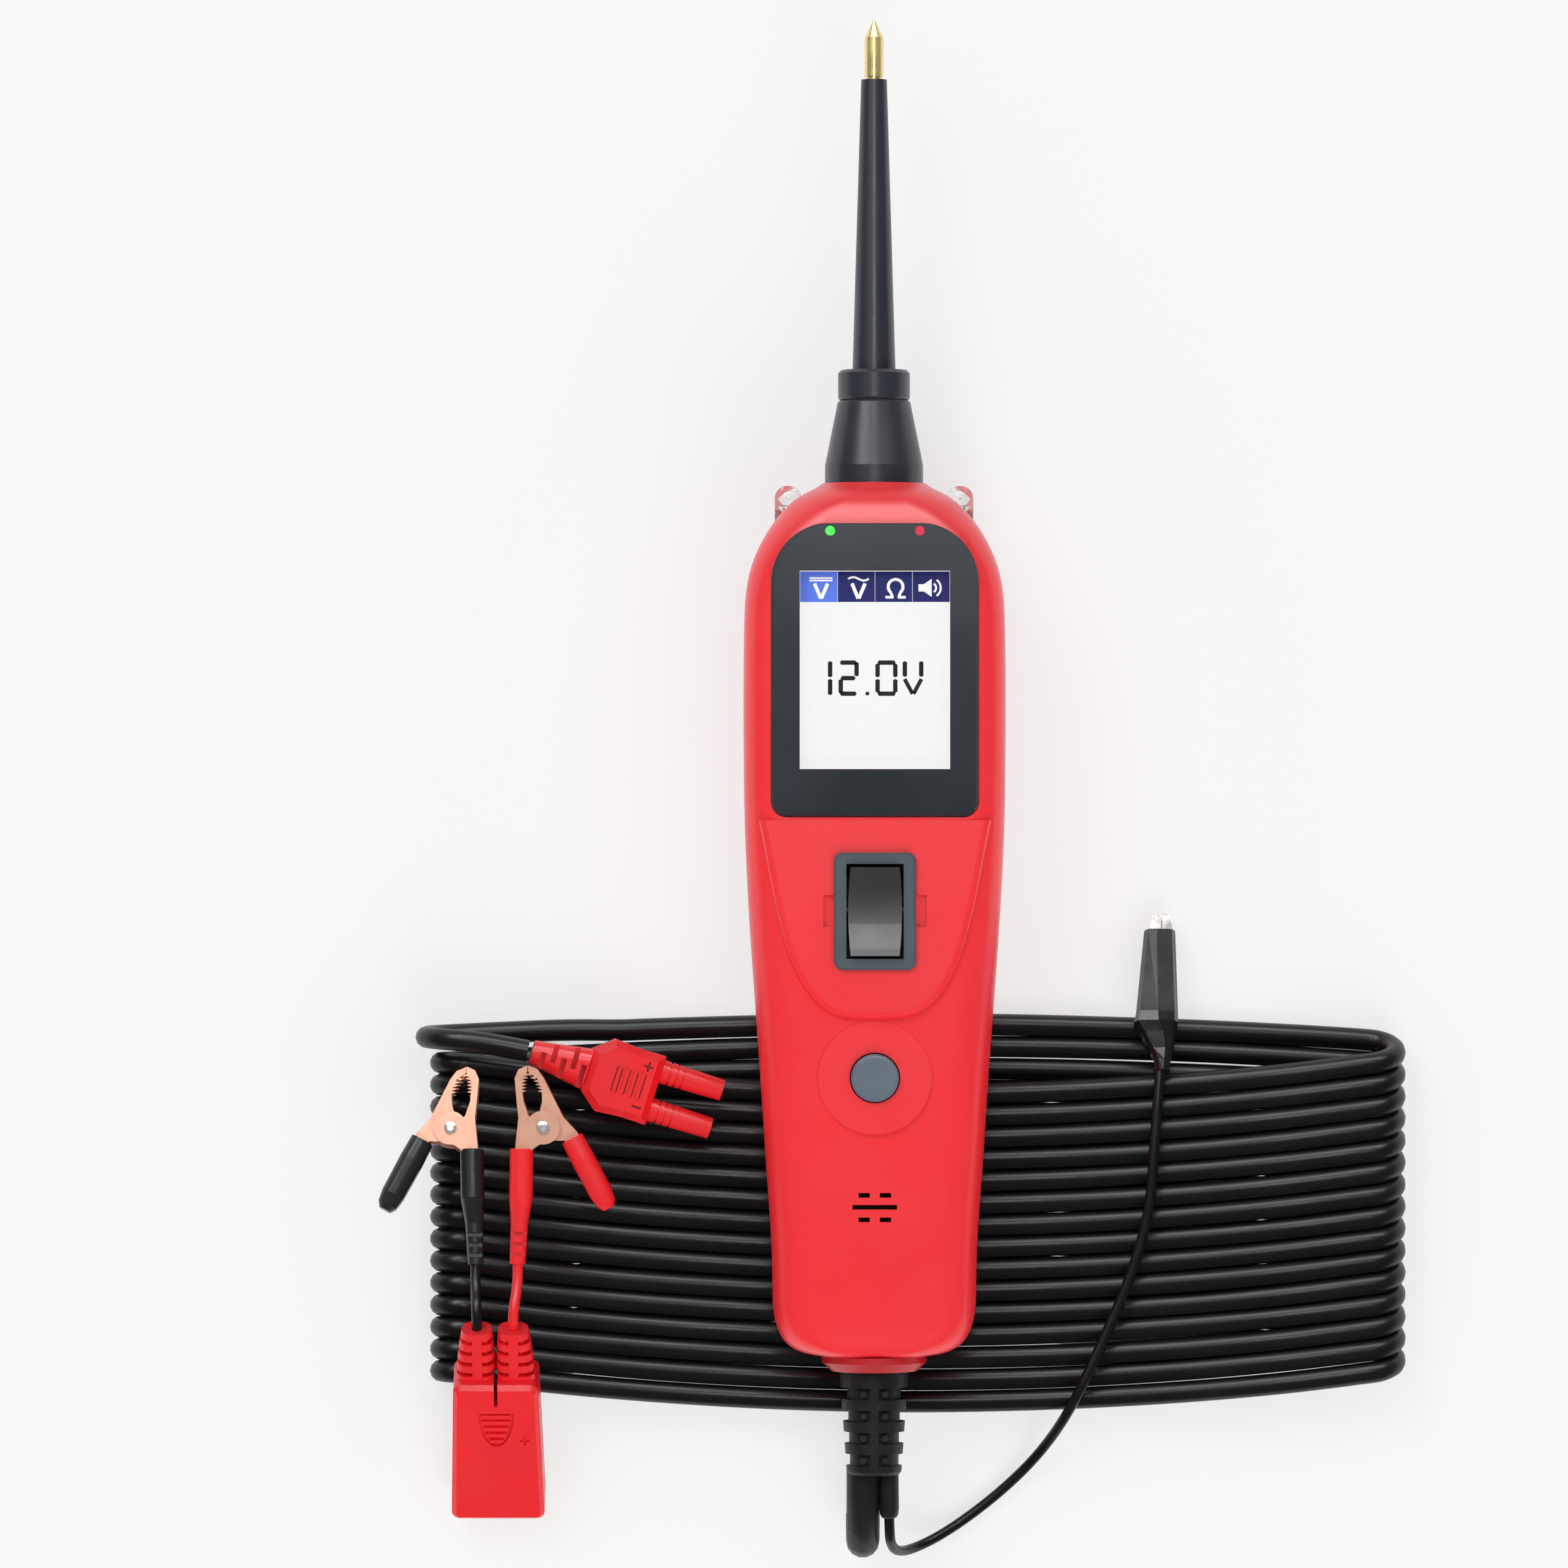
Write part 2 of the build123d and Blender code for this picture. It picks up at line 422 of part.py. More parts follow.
def cable_coil():
    """Outer shape of the wound supply cable: low in the middle, where the handle lies, fuller at its ends.
    Its far edge steps down to the single layer that peeks out there."""
    rows = [(COIL_LEFT, -112.5, -62.5, 1.0, 2.0, 10.5), (-80.3, -116.6, -57.4, 2.0, 0.0, COIL_HIGH),
            (-70.0, -117.6, -56.0, 3.0, 0.0, COIL_HIGH), (-49.5, -121.0, -55.3, 6.0, 0.0, 10.6),
            (-46.5, -121.4, -50.9, 10.0, 0.0, 10.2), (-26.0, -123.2, -50.2, 12.0, 0.0, COIL_LOW),
            (26.0, -123.6, -50.0, 12.0, 0.0, COIL_LOW), (60.0, -121.4, -51.0, 10.5, 0.0, 10.4),
            (86.0, -118.0, -54.6, 5.0, 0.0, COIL_HIGH), (96.9, -116.2, -57.0, 2.0, 0.0, COIL_HIGH),
            (COIL_RIGHT, -112.5, -62.5, 1.0, 2.0, 10.5)]
    faces = []
    for x, near, far, step, low, high in rows:
        outline = [(near + 1, low), (far, low), (far, low + CABLE_D), (far - step, high), (near + 2, high),
                   (near, high - 2.5), (near, low + 1.5)]
        faces.append(make_face(Polyline(*[(x, y, z) for y, z in outline], close=True)))
    return loft(faces, ruled=True)


def plug_frame():
    return Pos(*PLUG_AT) * Rot(0, 0, PLUG_TURN) * Rot(0, -PLUG_DIP, 0)


def supply_plug():
    """Ribbed tail, faceted head with a thumb grip, and two grooved prongs along local +X."""
    tail = loft([Plane(origin=(u, 0, 0), z_dir=(1, 0, 0), x_dir=(0, 1, 0)) * RectangleRounded(w, t, r)
                 for u, w, t, r in ((0, 4.4, 4.4, 2.1), (10.7, 7.8, 6.2, 2.4))])
    for index in range(5):
        u = 1.6 + 1.95 * index
        side = 1 if index % 2 else -1
        tail -= block(u, u + 1.0, min(-0.7 * side, 6 * side), max(-0.7 * side, 6 * side), -5, -1.2)
        tail -= block(u, u + 1.0, min(-0.7 * side, 6 * side), max(-0.7 * side, 6 * side), 1.2, 5)
    plan = Polyline((10.7, 4.0), (14.2, 6.9), (19.5, 6.5), (24.0, 6.6), (24.0, -6.6), (19.5, -6.5),
                    (14.2, -6.9), (10.7, -4.0), close=True)
    head = Pos(0, 0, -PLUG_HEAD_THICK / 2) * extrude(make_face(plan), PLUG_HEAD_THICK)
    head = chamfer(head.edges().group_by(Axis.Z)[-1] + head.edges().group_by(Axis.Z)[0], 1.3)
    for index in range(4):
        head += block(16.0 + 1.5 * index, 16.6 + 1.5 * index, -2.4, 2.4, 3, PLUG_HEAD_THICK / 2 + 0.35)
    for length, width, u in ((1.8, 0.4, 21.3), (0.4, 1.8, 21.3)):
        head -= block(u - length / 2, u + length / 2, 3.9 - width / 2, 3.9 + width / 2, PLUG_HEAD_THICK / 2 - 0.3, 5)
    head -= block(20.4, 22.2, -4.1, -3.7, PLUG_HEAD_THICK / 2 - 0.3, 5)
    plug = tail + head
    for side in (-1, 1):
        prong = Rot(0, 90, 0) * Cone(PRONG_R + 0.1, PRONG_R - 0.15, PRONG_END - 23.5)
        prong = Pos((PRONG_END + 23.5) / 2, side * PRONG_PITCH / 2, 0) * prong
        for index in range(3):
            groove = Cylinder(PRONG_R + 1, 0.35) - Cylinder(PRONG_R - 0.25, 1)
            prong -= Pos(25.6 + 1.3 * index, side * PRONG_PITCH / 2, 0) * Rot(0, 90, 0) * groove
        bore = Pos(PRONG_END - 4, side * PRONG_PITCH / 2, 0) * Rot(0, 90, 0) * Cylinder(1.4, 12)
        plug = plug + prong - bore
    return plug_frame() * plug


def plug_contacts():
    sleeves = []
    for side in (-1, 1):
        ring = Cylinder(1.4, 9.4) - Pos(0, 0, 2) * Cylinder(1.0, 9.4)
        sleeves.append(plug_frame() * Pos(PRONG_END - 5.3, side * PRONG_PITCH / 2, 0) * Rot(0, 90, 0) * ring)
    return sleeves


def block_frame():
    return Pos(*BLOCK_AT) * Rot(BLOCK_TILT, 0, 0)


def socket_block():
    """Tapered block with two sockets below, two ribbed boots above and a ribbed thumb hollow."""
    plan = Polyline((-BLOCK_END_HALF, 0), (BLOCK_END_HALF, 0), (BLOCK_HALF, BLOCK_LENGTH),
                    (-BLOCK_HALF, BLOCK_LENGTH), close=True)
    body = Pos(0, 0, -BLOCK_THICK / 2) * extrude(make_face(plan), BLOCK_THICK)
    body = fillet(body.edges().filter_by(Axis.Z), 1.6)
    body = chamfer(body.edges().group_by(Axis.Z)[-1], 0.8)
    for side in (-1, 1):
        x = side * BLOCK_BOOT_X
        boot = loft([Pos(0, 0, 0) * Plane(origin=(x + side * dx, y, 0), x_dir=(1, 0, 0), z_dir=(0, 1, 0))
                     * RectangleRounded(w, t, r) for dx, y, w, t, r in
                     ((0.35, BLOCK_LENGTH - 1, 7.3, 5.4, 2.0), (0.2, BLOCK_LENGTH + 5, 6.7, 4.9, 2.0),
                      (0, BLOCK_LENGTH + BLOCK_BOOT_LENGTH, 5.6, 4.4, 2.0))])
        for index in range(4):
            y = BLOCK_LENGTH + 1.0 + 2.3 * index
            gap = block(x - 5, x + 5, y, y + 0.9, -4, 4)
            gap -= block(x - 0.9, x + 0.9, y - 1, y + 2, -4, 4) + block(x - 1.9, x + 1.9, y - 1, y + 2, -1.5, 1.5)
            boot -= gap
        boot -= Pos(x, BLOCK_LENGTH + BLOCK_BOOT_LENGTH, 0) * Rot(90, 0, 0) * Cylinder(WIRE_D / 2 + 0.02, 6)
        body += boot
        socket = Pos(side * PRONG_PITCH / 2, 5.5, 0) * Rot(90, 0, 0)
        body -= socket * Cylinder(PRONG_R + 0.15, 13.0)
    body -= block(-0.35, 0.35, BLOCK_LENGTH - 4.5, BLOCK_LENGTH + 2, -6, 6)
    bowl = [(3.3 * cos(radians(t)), 24.6 + 7.6 * sin(radians(t))) for t in range(0, -181, -20)]
    body -= Pos(0, 0, BLOCK_THICK / 2 - 0.5) * extrude(make_face(Polyline(*bowl, close=True)), 2)
    for index in range(5):
        y = 23.9 - 1.4 * index
        half = 3.3 * cos(asin((24.6 - y) / 7.6)) - 0.6
        body += block(-half, half, y - 0.3, y + 0.3, BLOCK_THICK / 2 - 0.6, BLOCK_THICK / 2)
    for length, width in ((1.8, 0.4), (0.4, 1.8)):
        body -= block(5.2 - length / 2, 5.2 + length / 2, 18.4 - width / 2, 18.4 + width / 2, BLOCK_THICK / 2 - 0.3, 6)
    return block_frame() * body


def block_contacts():
    pins = []
    for side in (-1, 1):
        pin = Rot(90, 0, 0) * Cylinder(0.95, 10.0)
        pins.append(block_frame() * Pos(side * PRONG_PITCH / 2, 7.0, 0) * pin)
        pins[-1] = pins[-1] + block_frame() * Pos(side * PRONG_PITCH / 2, 11.75, 0) * Rot(90, 0, 0) * Cylinder(1.6, 0.5)
    return pins


# ---- battery clips: local frame with the rivet's axis on Z and the fixed handle along -Y


def clip_frame(place, pitch):
    return Pos(*place) * Rot(pitch, 0, 0)


# outlines seen along the rivet: outer edge of each jaw from its tip down, then back up inside
FIXED_JAW = [(2.95, 11.4), (4.5, 10.7), (5.2, 9.1), (4.85, 5.1), (4.5, 1.8), (3.0, -0.6),
             (1.0, 0.8), (2.7, 2.2), (3.6, 4.8), (3.9, 7.2), (3.75, 9.1), (2.95, 10.3)]
LEVER_JAW = [(2.85, 11.4), (1.1, 10.7), (-0.1, 9.1), (-2.1, 5.1), (-3.8, 1.8), (-2.9, -0.6),
             (1.0, 0.8), (0.8, 2.2), (0.15, 4.8), (0.2, 7.2), (1.1, 9.1), (2.85, 10.3)]
FIXED_HANDLE = [(-1.6, -1.6), (4.5, 1.8), (5.1, -3.8), (5.3, -10.0), (2.7, -10.0), (2.5, -4.4)]
FIXED_WEB = [(4.5, 1.8), (5.1, -3.8), (5.3, -10.0), (4.7, -10.0), (4.5, -3.8), (3.9, 1.8)]
LEVER_HANDLE = [(-3.8, 1.8), (-6.3, -0.9), (-10.5, -8.9), (-8.1, -10.1), (-4.0, -2.4), (-0.8, -2.4)]
LEVER_WEB = [(-3.8, 1.8), (-6.3, -0.9), (-10.5, -8.9), (-9.97, -9.18), (-5.8, -1.2), (-3.1, 1.7)]


def teeth(side, outline, depth):
    """Six teeth on the inner edge near the tip."""
    row = []
    for index in range(6):
        y = 10.1 - 0.62 * index
        below, above = next((a, b) for a, b in zip(outline[6:], outline[7:]) if a[1] <= y <= b[1])
        edge = below[0] + (above[0] - below[0]) * (y - below[1]) / (above[1] - below[1])
        tooth = Polyline((edge + 0.3 * side, y), (edge - 0.75 * side, y - 0.3), (edge + 0.3 * side, y - 0.6), close=True)
        row.append(Pos(0, 0, -depth / 2) * extrude(make_face(tooth), depth))
    return row


def jaw_half(side, width, outline, handle, web_edge):
    """Pressed channel: jaw with teeth, a round ear on the rivet and a handle strap."""
    outer = outline[:5]
    strip = outer + [(x - 0.6 * side, y - 0.25) for x, y in reversed(outer[1:])] + [(outer[0][0], outer[0][1] - 0.6)]
    solid = Pos(0, 0, -width / 2) * extrude(make_face(Polyline(*strip, close=True)), width)
    solid += Pos(0, 0, -width / 2) * extrude(make_face(Polyline(*web_edge, close=True)), width)
    cheek = Circle(EAR_R) + make_face(Polyline(*handle, close=True)) + make_face(Polyline(*outline, close=True))
    for level in (-width / 2, width / 2 - CLIP_METAL):
        solid += Pos(0, 0, level) * extrude(cheek, CLIP_METAL)
        for tooth in teeth(side, outline, CLIP_METAL):
            solid += Pos(0, 0, level + CLIP_METAL / 2) * tooth
    solid -= Cylinder(EAR_R + CLIP_GAP, width - 2 * CLIP_METAL)
    return solid - Cylinder(RIVET_R + 0.03, 20)


def oval(x, y, turn, width, thick):
    plane = Plane(origin=(x, y, 0), x_dir=(cos(turn), sin(turn), 0), z_dir=(sin(turn), -cos(turn), 0))
    return plane * RectangleRounded(width, thick, 0.46 * min(width, thick))


def clip_boot():
    rows = [(3.95, -3.9, 4.3, 7.9), (4.1, -12.9, 4.3, 7.5), (4.4, -17.6, 3.2, 4.0), (4.75, -25.1, 2.9, 3.1)]
    boot = loft([oval(x, y, 0, w, t) for x, y, w, t in rows], ruled=True)
    for index in range(3):
        y = -19.6 - 1.9 * index
        boot -= block(0, 10, y - 0.4, y + 0.4, 1.05, 5) + block(0, 10, y - 0.4, y + 0.4, -5, -1.05)
    return boot - Pos(4.7, -24.6, 0) * Rot(90, 0, 0) * Cylinder(WIRE_D / 2 + 0.02, 5)


def lever_boot():
    turn = radians(-28)
    rows = [(0.0, 4.1, 6.7), (4.0, 4.4, 6.9), (11.4, 4.3, 6.3), (13.6, 3.6, 5.4), (14.6, 2.2, 3.8)]
    return loft([oval(-5.3 - 0.469 * s, -2.0 - 0.883 * s, turn, w, t) for s, w, t in rows], ruled=True)


def clip_spring():
    """Torsion spring round the rivet: three touching coils and one leg on the fixed strap."""
    coils = Torus(1.6, 0.4)
    for z in (-0.7, 0.7):
        coils += Pos(0, 0, z) * Torus(1.6, 0.4)
    leg = Pos(2.2, -1.9, 0) * Rot(0, 0, 30) * Box(0.6, 2.8, 0.6)
    return coils + leg


def clip_rivet(width):
    pin = Cylinder(RIVET_R, width + 0.6)
    for side in (-1, 1):
        pin += Pos(0, 0, side * (width / 2 + 0.2)) * Cylinder(1.15, 0.4)
        pin += Pos(0, 0, side * (width / 2 + 0.525)) * Rot(90 - 90 * side, 0, 0) * Cone(1.15, 0.6, 0.25)
    return pin


def battery_clip(name, place, pitch, mirrored):
    inner_width = CLIP_WIDTH - 2 * (CLIP_METAL + CLIP_GAP)
    fixed = jaw_half(1, CLIP_WIDTH, FIXED_JAW, FIXED_HANDLE, FIXED_WEB)
    moving = jaw_half(-1, inner_width, LEVER_JAW, LEVER_HANDLE, LEVER_WEB)
    pieces = {"jaw_fixed": fixed, "jaw_moving": moving, "rivet": clip_rivet(CLIP_WIDTH), "spring": clip_spring(),
              "boot": clip_boot() - fixed, "lever_boot": lever_boot() - moving}
    for part_name, piece in pieces.items():
        if mirrored:
            piece = mirror(piece, about=Plane.YZ)
        save(f"{name}_{part_name}", clip_frame(place, pitch) * piece)


def wire_route(boot_x, clip, tail_x):
    start = block_frame() * Pos(boot_x, BLOCK_LENGTH + BLOCK_BOOT_LENGTH - 2.5, 0)
    out = block_frame() * Pos(boot_x, BLOCK_LENGTH + BLOCK_BOOT_LENGTH + 3.6, 0)
    near = clip_frame(*clip) * Pos(tail_x, -29.0, 0)
    end = clip_frame(*clip) * Pos(tail_x, -22.6, 0)
    return [tuple(p.position) for p in (start, out, near, end)]


# ---- ground clip: local frame with the rivet's axis on Z and the lead leaving along -Y


def ground_frame():
    return Pos(*GROUND_AT) * Rot(GROUND_PITCH, 0, 0)


def ground_strap(side, width, splay):
    half = [(0.15, 12.4), (1.5, 12.4), (2.3, 9.0), (2.3, 0.0), (2.3 + splay, -8.0), (0.9 + splay, -8.0),
            (0.9, -1.0), (0.15, 6.0)]
    plan = make_face(Polyline(*[(side * x, y) for x, y in half], close=True))
    return Pos(0, 0, -width / 2) * extrude(plan, width)


def ground_jaw(side, width, splay):
    """Slim steel jaw with an ear on the rivet and a strap that runs out by the splay."""
    inside = Pos(-CLIP_METAL * side, -CLIP_METAL, 0) * ground_strap(side, width - 2 * CLIP_METAL, splay)
    solid = ground_strap(side, width, splay) - inside
    for level in (-width / 2, width / 2 - CLIP_METAL):
        solid += Pos(0, 0, level) * extrude(Circle(GROUND_EAR_R), CLIP_METAL)
    solid -= Cylinder(GROUND_EAR_R + CLIP_GAP, width - 2 * CLIP_METAL)
    return solid - Cylinder(RIVET_R + 0.03, 20)


def ground_boots(inner_width):
    """Glossy two-piece cover: the fixed side carries the lead's tail, the other is the lever."""
    rows = [(1.45, 9.3, 2.9, 5.6), (1.7, 1.0, 3.4, 6.2), (1.6, -8.2, 3.1, 5.6), (0.4, -12.0, 3.4, 3.8),
            (-0.6, -17.2, 3.0, 3.0)]
    cover = loft([oval(x, y, 0, w, t) for x, y, w, t in rows], ruled=True)
    cover -= Pos(-0.6, -16.0, 0) * Rot(90, 0, 0) * Cylinder(LEAD_D / 2 - 0.05, 4)
    turn = radians(-18)
    lever = loft([oval(x, y, t, w, d) for x, y, t, w, d in
                  ((-1.6, 9.2, 0, 2.3, 5.2), (-1.9, 0.5, 0, 2.5, 5.8), (-3.1, -4.0, turn, 2.8, 5.6),
                   (-4.4, -8.2, turn, 2.3, 4.4))], ruled=True)
    core = Cylinder(GROUND_EAR_R + 0.3, 20)
    lever = (lever - core - ground_strap(-1, inner_width, GROUND_SPLAY)).solids().sort_by(SortBy.VOLUME)[-1]
    return cover - core - ground_strap(1, GROUND_WIDTH, 0), lever


def build():
    os.makedirs("parts", exist_ok=True)
    outer, cavity = housing_block(), housing_cavity()
    window, display, frame = display_parts()
    save("front_shell", front_shell(outer, cavity))
    save("back_shell", back_shell(outer, cavity))
    save("screen_bezel", screen_bezel())
    save("screen_window", window)
    save("display_panel", display)
    save("display_frame", frame)
    save("main_board", main_board())
    save("rocker_frame", rocker_frame())
    save("rocker_paddle", rocker_paddle())
    save("rocker_terminals", *rocker_terminals())
    save("mode_button", mode_button())
    save("button_switch", button_switch())
    save("speaker", speaker())
    save("circuit_breaker", circuit_breaker())
    save("nose_cone", nose_cone())
    save("tip_socket", tip_socket())
    save("probe_sleeve", probe_sleeve())
    save("probe_tip", probe_tip())
    save("flashlight_led_left", flashlight_led(-1))
    save("flashlight_led_right", flashlight_led(1))
    save("indicator_green", indicator(-1))
    save("indicator_red", indicator(1))
    save("case_screws", *case_screws())
    save("tail_ring", tail_ring())
    save("strain_relief", strain_relief())
    save("supply_cable", tube(SUPPLY_ROUTE, CABLE_D))
    save("supply_sleeve", tube(SLEEVE_ROUTE, SLEEVE_D, CABLE_D + 2 * FIT, bend_radii(SUPPLY_ROUTE)))
    save("cable_coil", cable_coil())
    save("supply_cable_end", tube(END_ROUTE, CABLE_D))
    save("supply_plug", supply_plug())
    save("plug_contacts", *plug_contacts())
    save("ground_lead", tube(LEAD_ROUTE, LEAD_D))
    save("ground_sleeve", rod(LEAD_X, LEAD_SLEEVE_END, BOOT_END, LEAD_SLEEVE_D / 2)
         - rod(LEAD_X, LEAD_SLEEVE_END - 1, BOOT_END + 1, LEAD_D / 2 + FIT))
    fixed = ground_jaw(1, GROUND_WIDTH, 0)
    inner_width = GROUND_WIDTH - 2 * (CLIP_METAL + CLIP_GAP)
    moving = ground_jaw(-1, inner_width, GROUND_SPLAY)
    boot, lever = ground_boots(inner_width)
    for name, piece in (("jaw_fixed", fixed), ("jaw_moving", moving), ("boot", boot), ("lever_boot", lever),
                        ("rivet", clip_rivet(GROUND_WIDTH)), ("spring", Torus(1.3, 0.35))):
        save(f"ground_{name}", ground_frame() * piece)
    save("socket_block", socket_block())
    save("block_contacts", *block_contacts())
    save("adapter_wire_black", tube(wire_route(-BLOCK_BOOT_X, (BLACK_CLIP_AT, BLACK_CLIP_PITCH), 4.7), WIRE_D))
    save("adapter_wire_red", tube(wire_route(BLOCK_BOOT_X, (RED_CLIP_AT, RED_CLIP_PITCH), -4.7), WIRE_D))
    battery_clip("black_clip", BLACK_CLIP_AT, BLACK_CLIP_PITCH, False)
    battery_clip("red_clip", RED_CLIP_AT, RED_CLIP_PITCH, True)


build()
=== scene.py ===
"""Looks of a circuit test light: materials, screen picture, wound supply cord and stage."""

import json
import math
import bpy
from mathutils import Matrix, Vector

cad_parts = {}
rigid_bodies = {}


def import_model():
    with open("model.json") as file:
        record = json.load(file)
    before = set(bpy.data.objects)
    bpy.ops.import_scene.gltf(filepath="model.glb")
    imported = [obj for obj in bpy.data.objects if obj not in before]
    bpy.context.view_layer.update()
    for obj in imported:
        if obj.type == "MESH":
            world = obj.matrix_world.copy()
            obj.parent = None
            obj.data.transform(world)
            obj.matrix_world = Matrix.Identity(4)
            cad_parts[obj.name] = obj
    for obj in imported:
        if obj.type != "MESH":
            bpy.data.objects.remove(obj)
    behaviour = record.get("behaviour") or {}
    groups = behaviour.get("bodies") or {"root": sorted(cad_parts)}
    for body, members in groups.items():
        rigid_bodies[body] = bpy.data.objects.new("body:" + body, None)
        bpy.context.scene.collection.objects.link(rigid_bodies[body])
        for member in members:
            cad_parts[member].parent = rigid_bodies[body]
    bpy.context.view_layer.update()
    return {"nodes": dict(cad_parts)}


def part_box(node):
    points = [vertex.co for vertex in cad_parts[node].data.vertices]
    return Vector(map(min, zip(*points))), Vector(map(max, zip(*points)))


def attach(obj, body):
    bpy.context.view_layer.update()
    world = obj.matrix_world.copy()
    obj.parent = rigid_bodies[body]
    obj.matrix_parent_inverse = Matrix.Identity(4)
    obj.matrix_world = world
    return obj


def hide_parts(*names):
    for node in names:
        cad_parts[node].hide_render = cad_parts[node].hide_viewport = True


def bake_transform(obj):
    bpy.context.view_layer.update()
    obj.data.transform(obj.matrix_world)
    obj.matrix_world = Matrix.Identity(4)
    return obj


bl_info = {
    "name": "Circuit Test Light",
    "version": (1, 0, 0),
    "blender": (4, 5, 0),
    "location": "View3D > Sidebar > Test Light",
    "description": "Finishes, cords, screen picture and studio for a circuit test light",
    "category": "Object",
}

import bmesh
import bpy
from bpy.props import FloatProperty, FloatVectorProperty, IntProperty, PointerProperty
from mathutils import Vector

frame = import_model()

MM = 0.001
ROOT = "tester"
AXIS_HEIGHT = 20.0  # height of the tester's axis, in mm
DISPLAY_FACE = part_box("display_panel")[1].z / MM


# ---- sizes and colours that a user may change


class TesterSizes(bpy.types.PropertyGroup):
    """Sizes of the cords and their winding"""

    cord_diameter: FloatProperty(name="Supply cord", description="Diameter of the supply cord",
                                 default=0.0041, min=0.001, unit="LENGTH")
    lead_diameter: FloatProperty(name="Ground lead", description="Diameter of the ground lead",
                                 default=0.0019, min=0.001, unit="LENGTH")
    winding_turns: IntProperty(name="Turns", description="Turns in the winding", default=15, min=2)
    winding_pitch: FloatProperty(name="Pitch", description="Distance between neighbouring turns",
                                 default=0.0041, unit="LENGTH")
    winding_sway: FloatProperty(name="Sway", description="How far a turn strays from its line",
                                default=0.00035, unit="LENGTH")
    screw_head: FloatProperty(name="Screw head", description="Radius of a case screw's head",
                              default=0.0024, unit="LENGTH")


class TesterColours(bpy.types.PropertyGroup):
    """Colours of the main finishes"""

    housing: FloatVectorProperty(name="Housing", description="Moulded housing", subtype="COLOR",
                                 default=(0.95, 0.024, 0.033), min=0, max=1)
    red_vinyl: FloatVectorProperty(name="Red vinyl", description="Red plug, block and boots",
                                   subtype="COLOR", default=(0.90, 0.014, 0.017), min=0, max=1)
    dark_plastic: FloatVectorProperty(name="Dark plastic", description="Nose cone and sleeve",
                                      subtype="COLOR", default=(0.023, 0.026, 0.037), min=0, max=1)
    fascia: FloatVectorProperty(name="Fascia", description="Panel round the screen", subtype="COLOR",
                                default=(0.019, 0.024, 0.031), min=0, max=1)
    slate: FloatVectorProperty(name="Slate", description="Rocker frame and mode button",
                               subtype="COLOR", default=(0.068, 0.094, 0.114), min=0, max=1)
    cord: FloatVectorProperty(name="Cord", description="Black cord jacket", subtype="COLOR",
                              default=(0.006, 0.006, 0.0065), min=0, max=1)


class StudioSettings(bpy.types.PropertyGroup):
    """Camera and lamps"""

    view_width: FloatProperty(name="View width", description="Width seen at the tester's axis",
                              default=0.290, unit="LENGTH")
    lens: FloatProperty(name="Lens", description="Focal length in millimetres", default=200.0)
    key_power: FloatProperty(name="Key lamp", description="Power of the key lamp", default=5.2)
    surround: FloatProperty(name="Surround", description="Strength of the surrounding light", default=0.62)
    reflected: FloatProperty(name="Reflected", description="Surround as glossy faces see it", default=0.05)


# ---- shared makers


def settings():
    """The user's sizes and colours."""
    return bpy.context.scene.test_light_sizes, bpy.context.scene.test_light_colours


def point(x, y, z):
    """A place given in millimetres."""
    return Vector((x * MM, y * MM, z * MM))


def new_object(name, data):
    """A new object, linked to the scene."""
    made = bpy.data.objects.new(name, data)
    bpy.context.scene.collection.objects.link(made)
    return made


def mesh_from(source):
    """The mesh that a helper object comes out as. The helper itself is removed."""
    bpy.context.view_layer.update()
    mesh = bpy.data.meshes.new_from_object(source.evaluated_get(bpy.context.evaluated_depsgraph_get()))
    bpy.data.objects.remove(source)
    return mesh


def add_node(tree, kind, links=None, values=None, **options):
    """A new node, with its options, its own values and the outputs linked to its inputs."""
    made = tree.nodes.new(kind)
    for option, value in options.items():
        setattr(made, option, value)
    for socket, value in (values or {}).items():
        made.inputs[socket].default_value = value
    for socket, source in (links or {}).items():
        tree.links.new(source, made.inputs[socket])
    return made


COLOUR_A, COLOUR_B, MIXED_COLOUR = 6, 7, 2  # colour sockets of a Mix node, whose names repeat
MOTTLE_DETAIL, RUB_DETAIL, GRAIN_DETAIL = 3.0, 4.0, 2.0


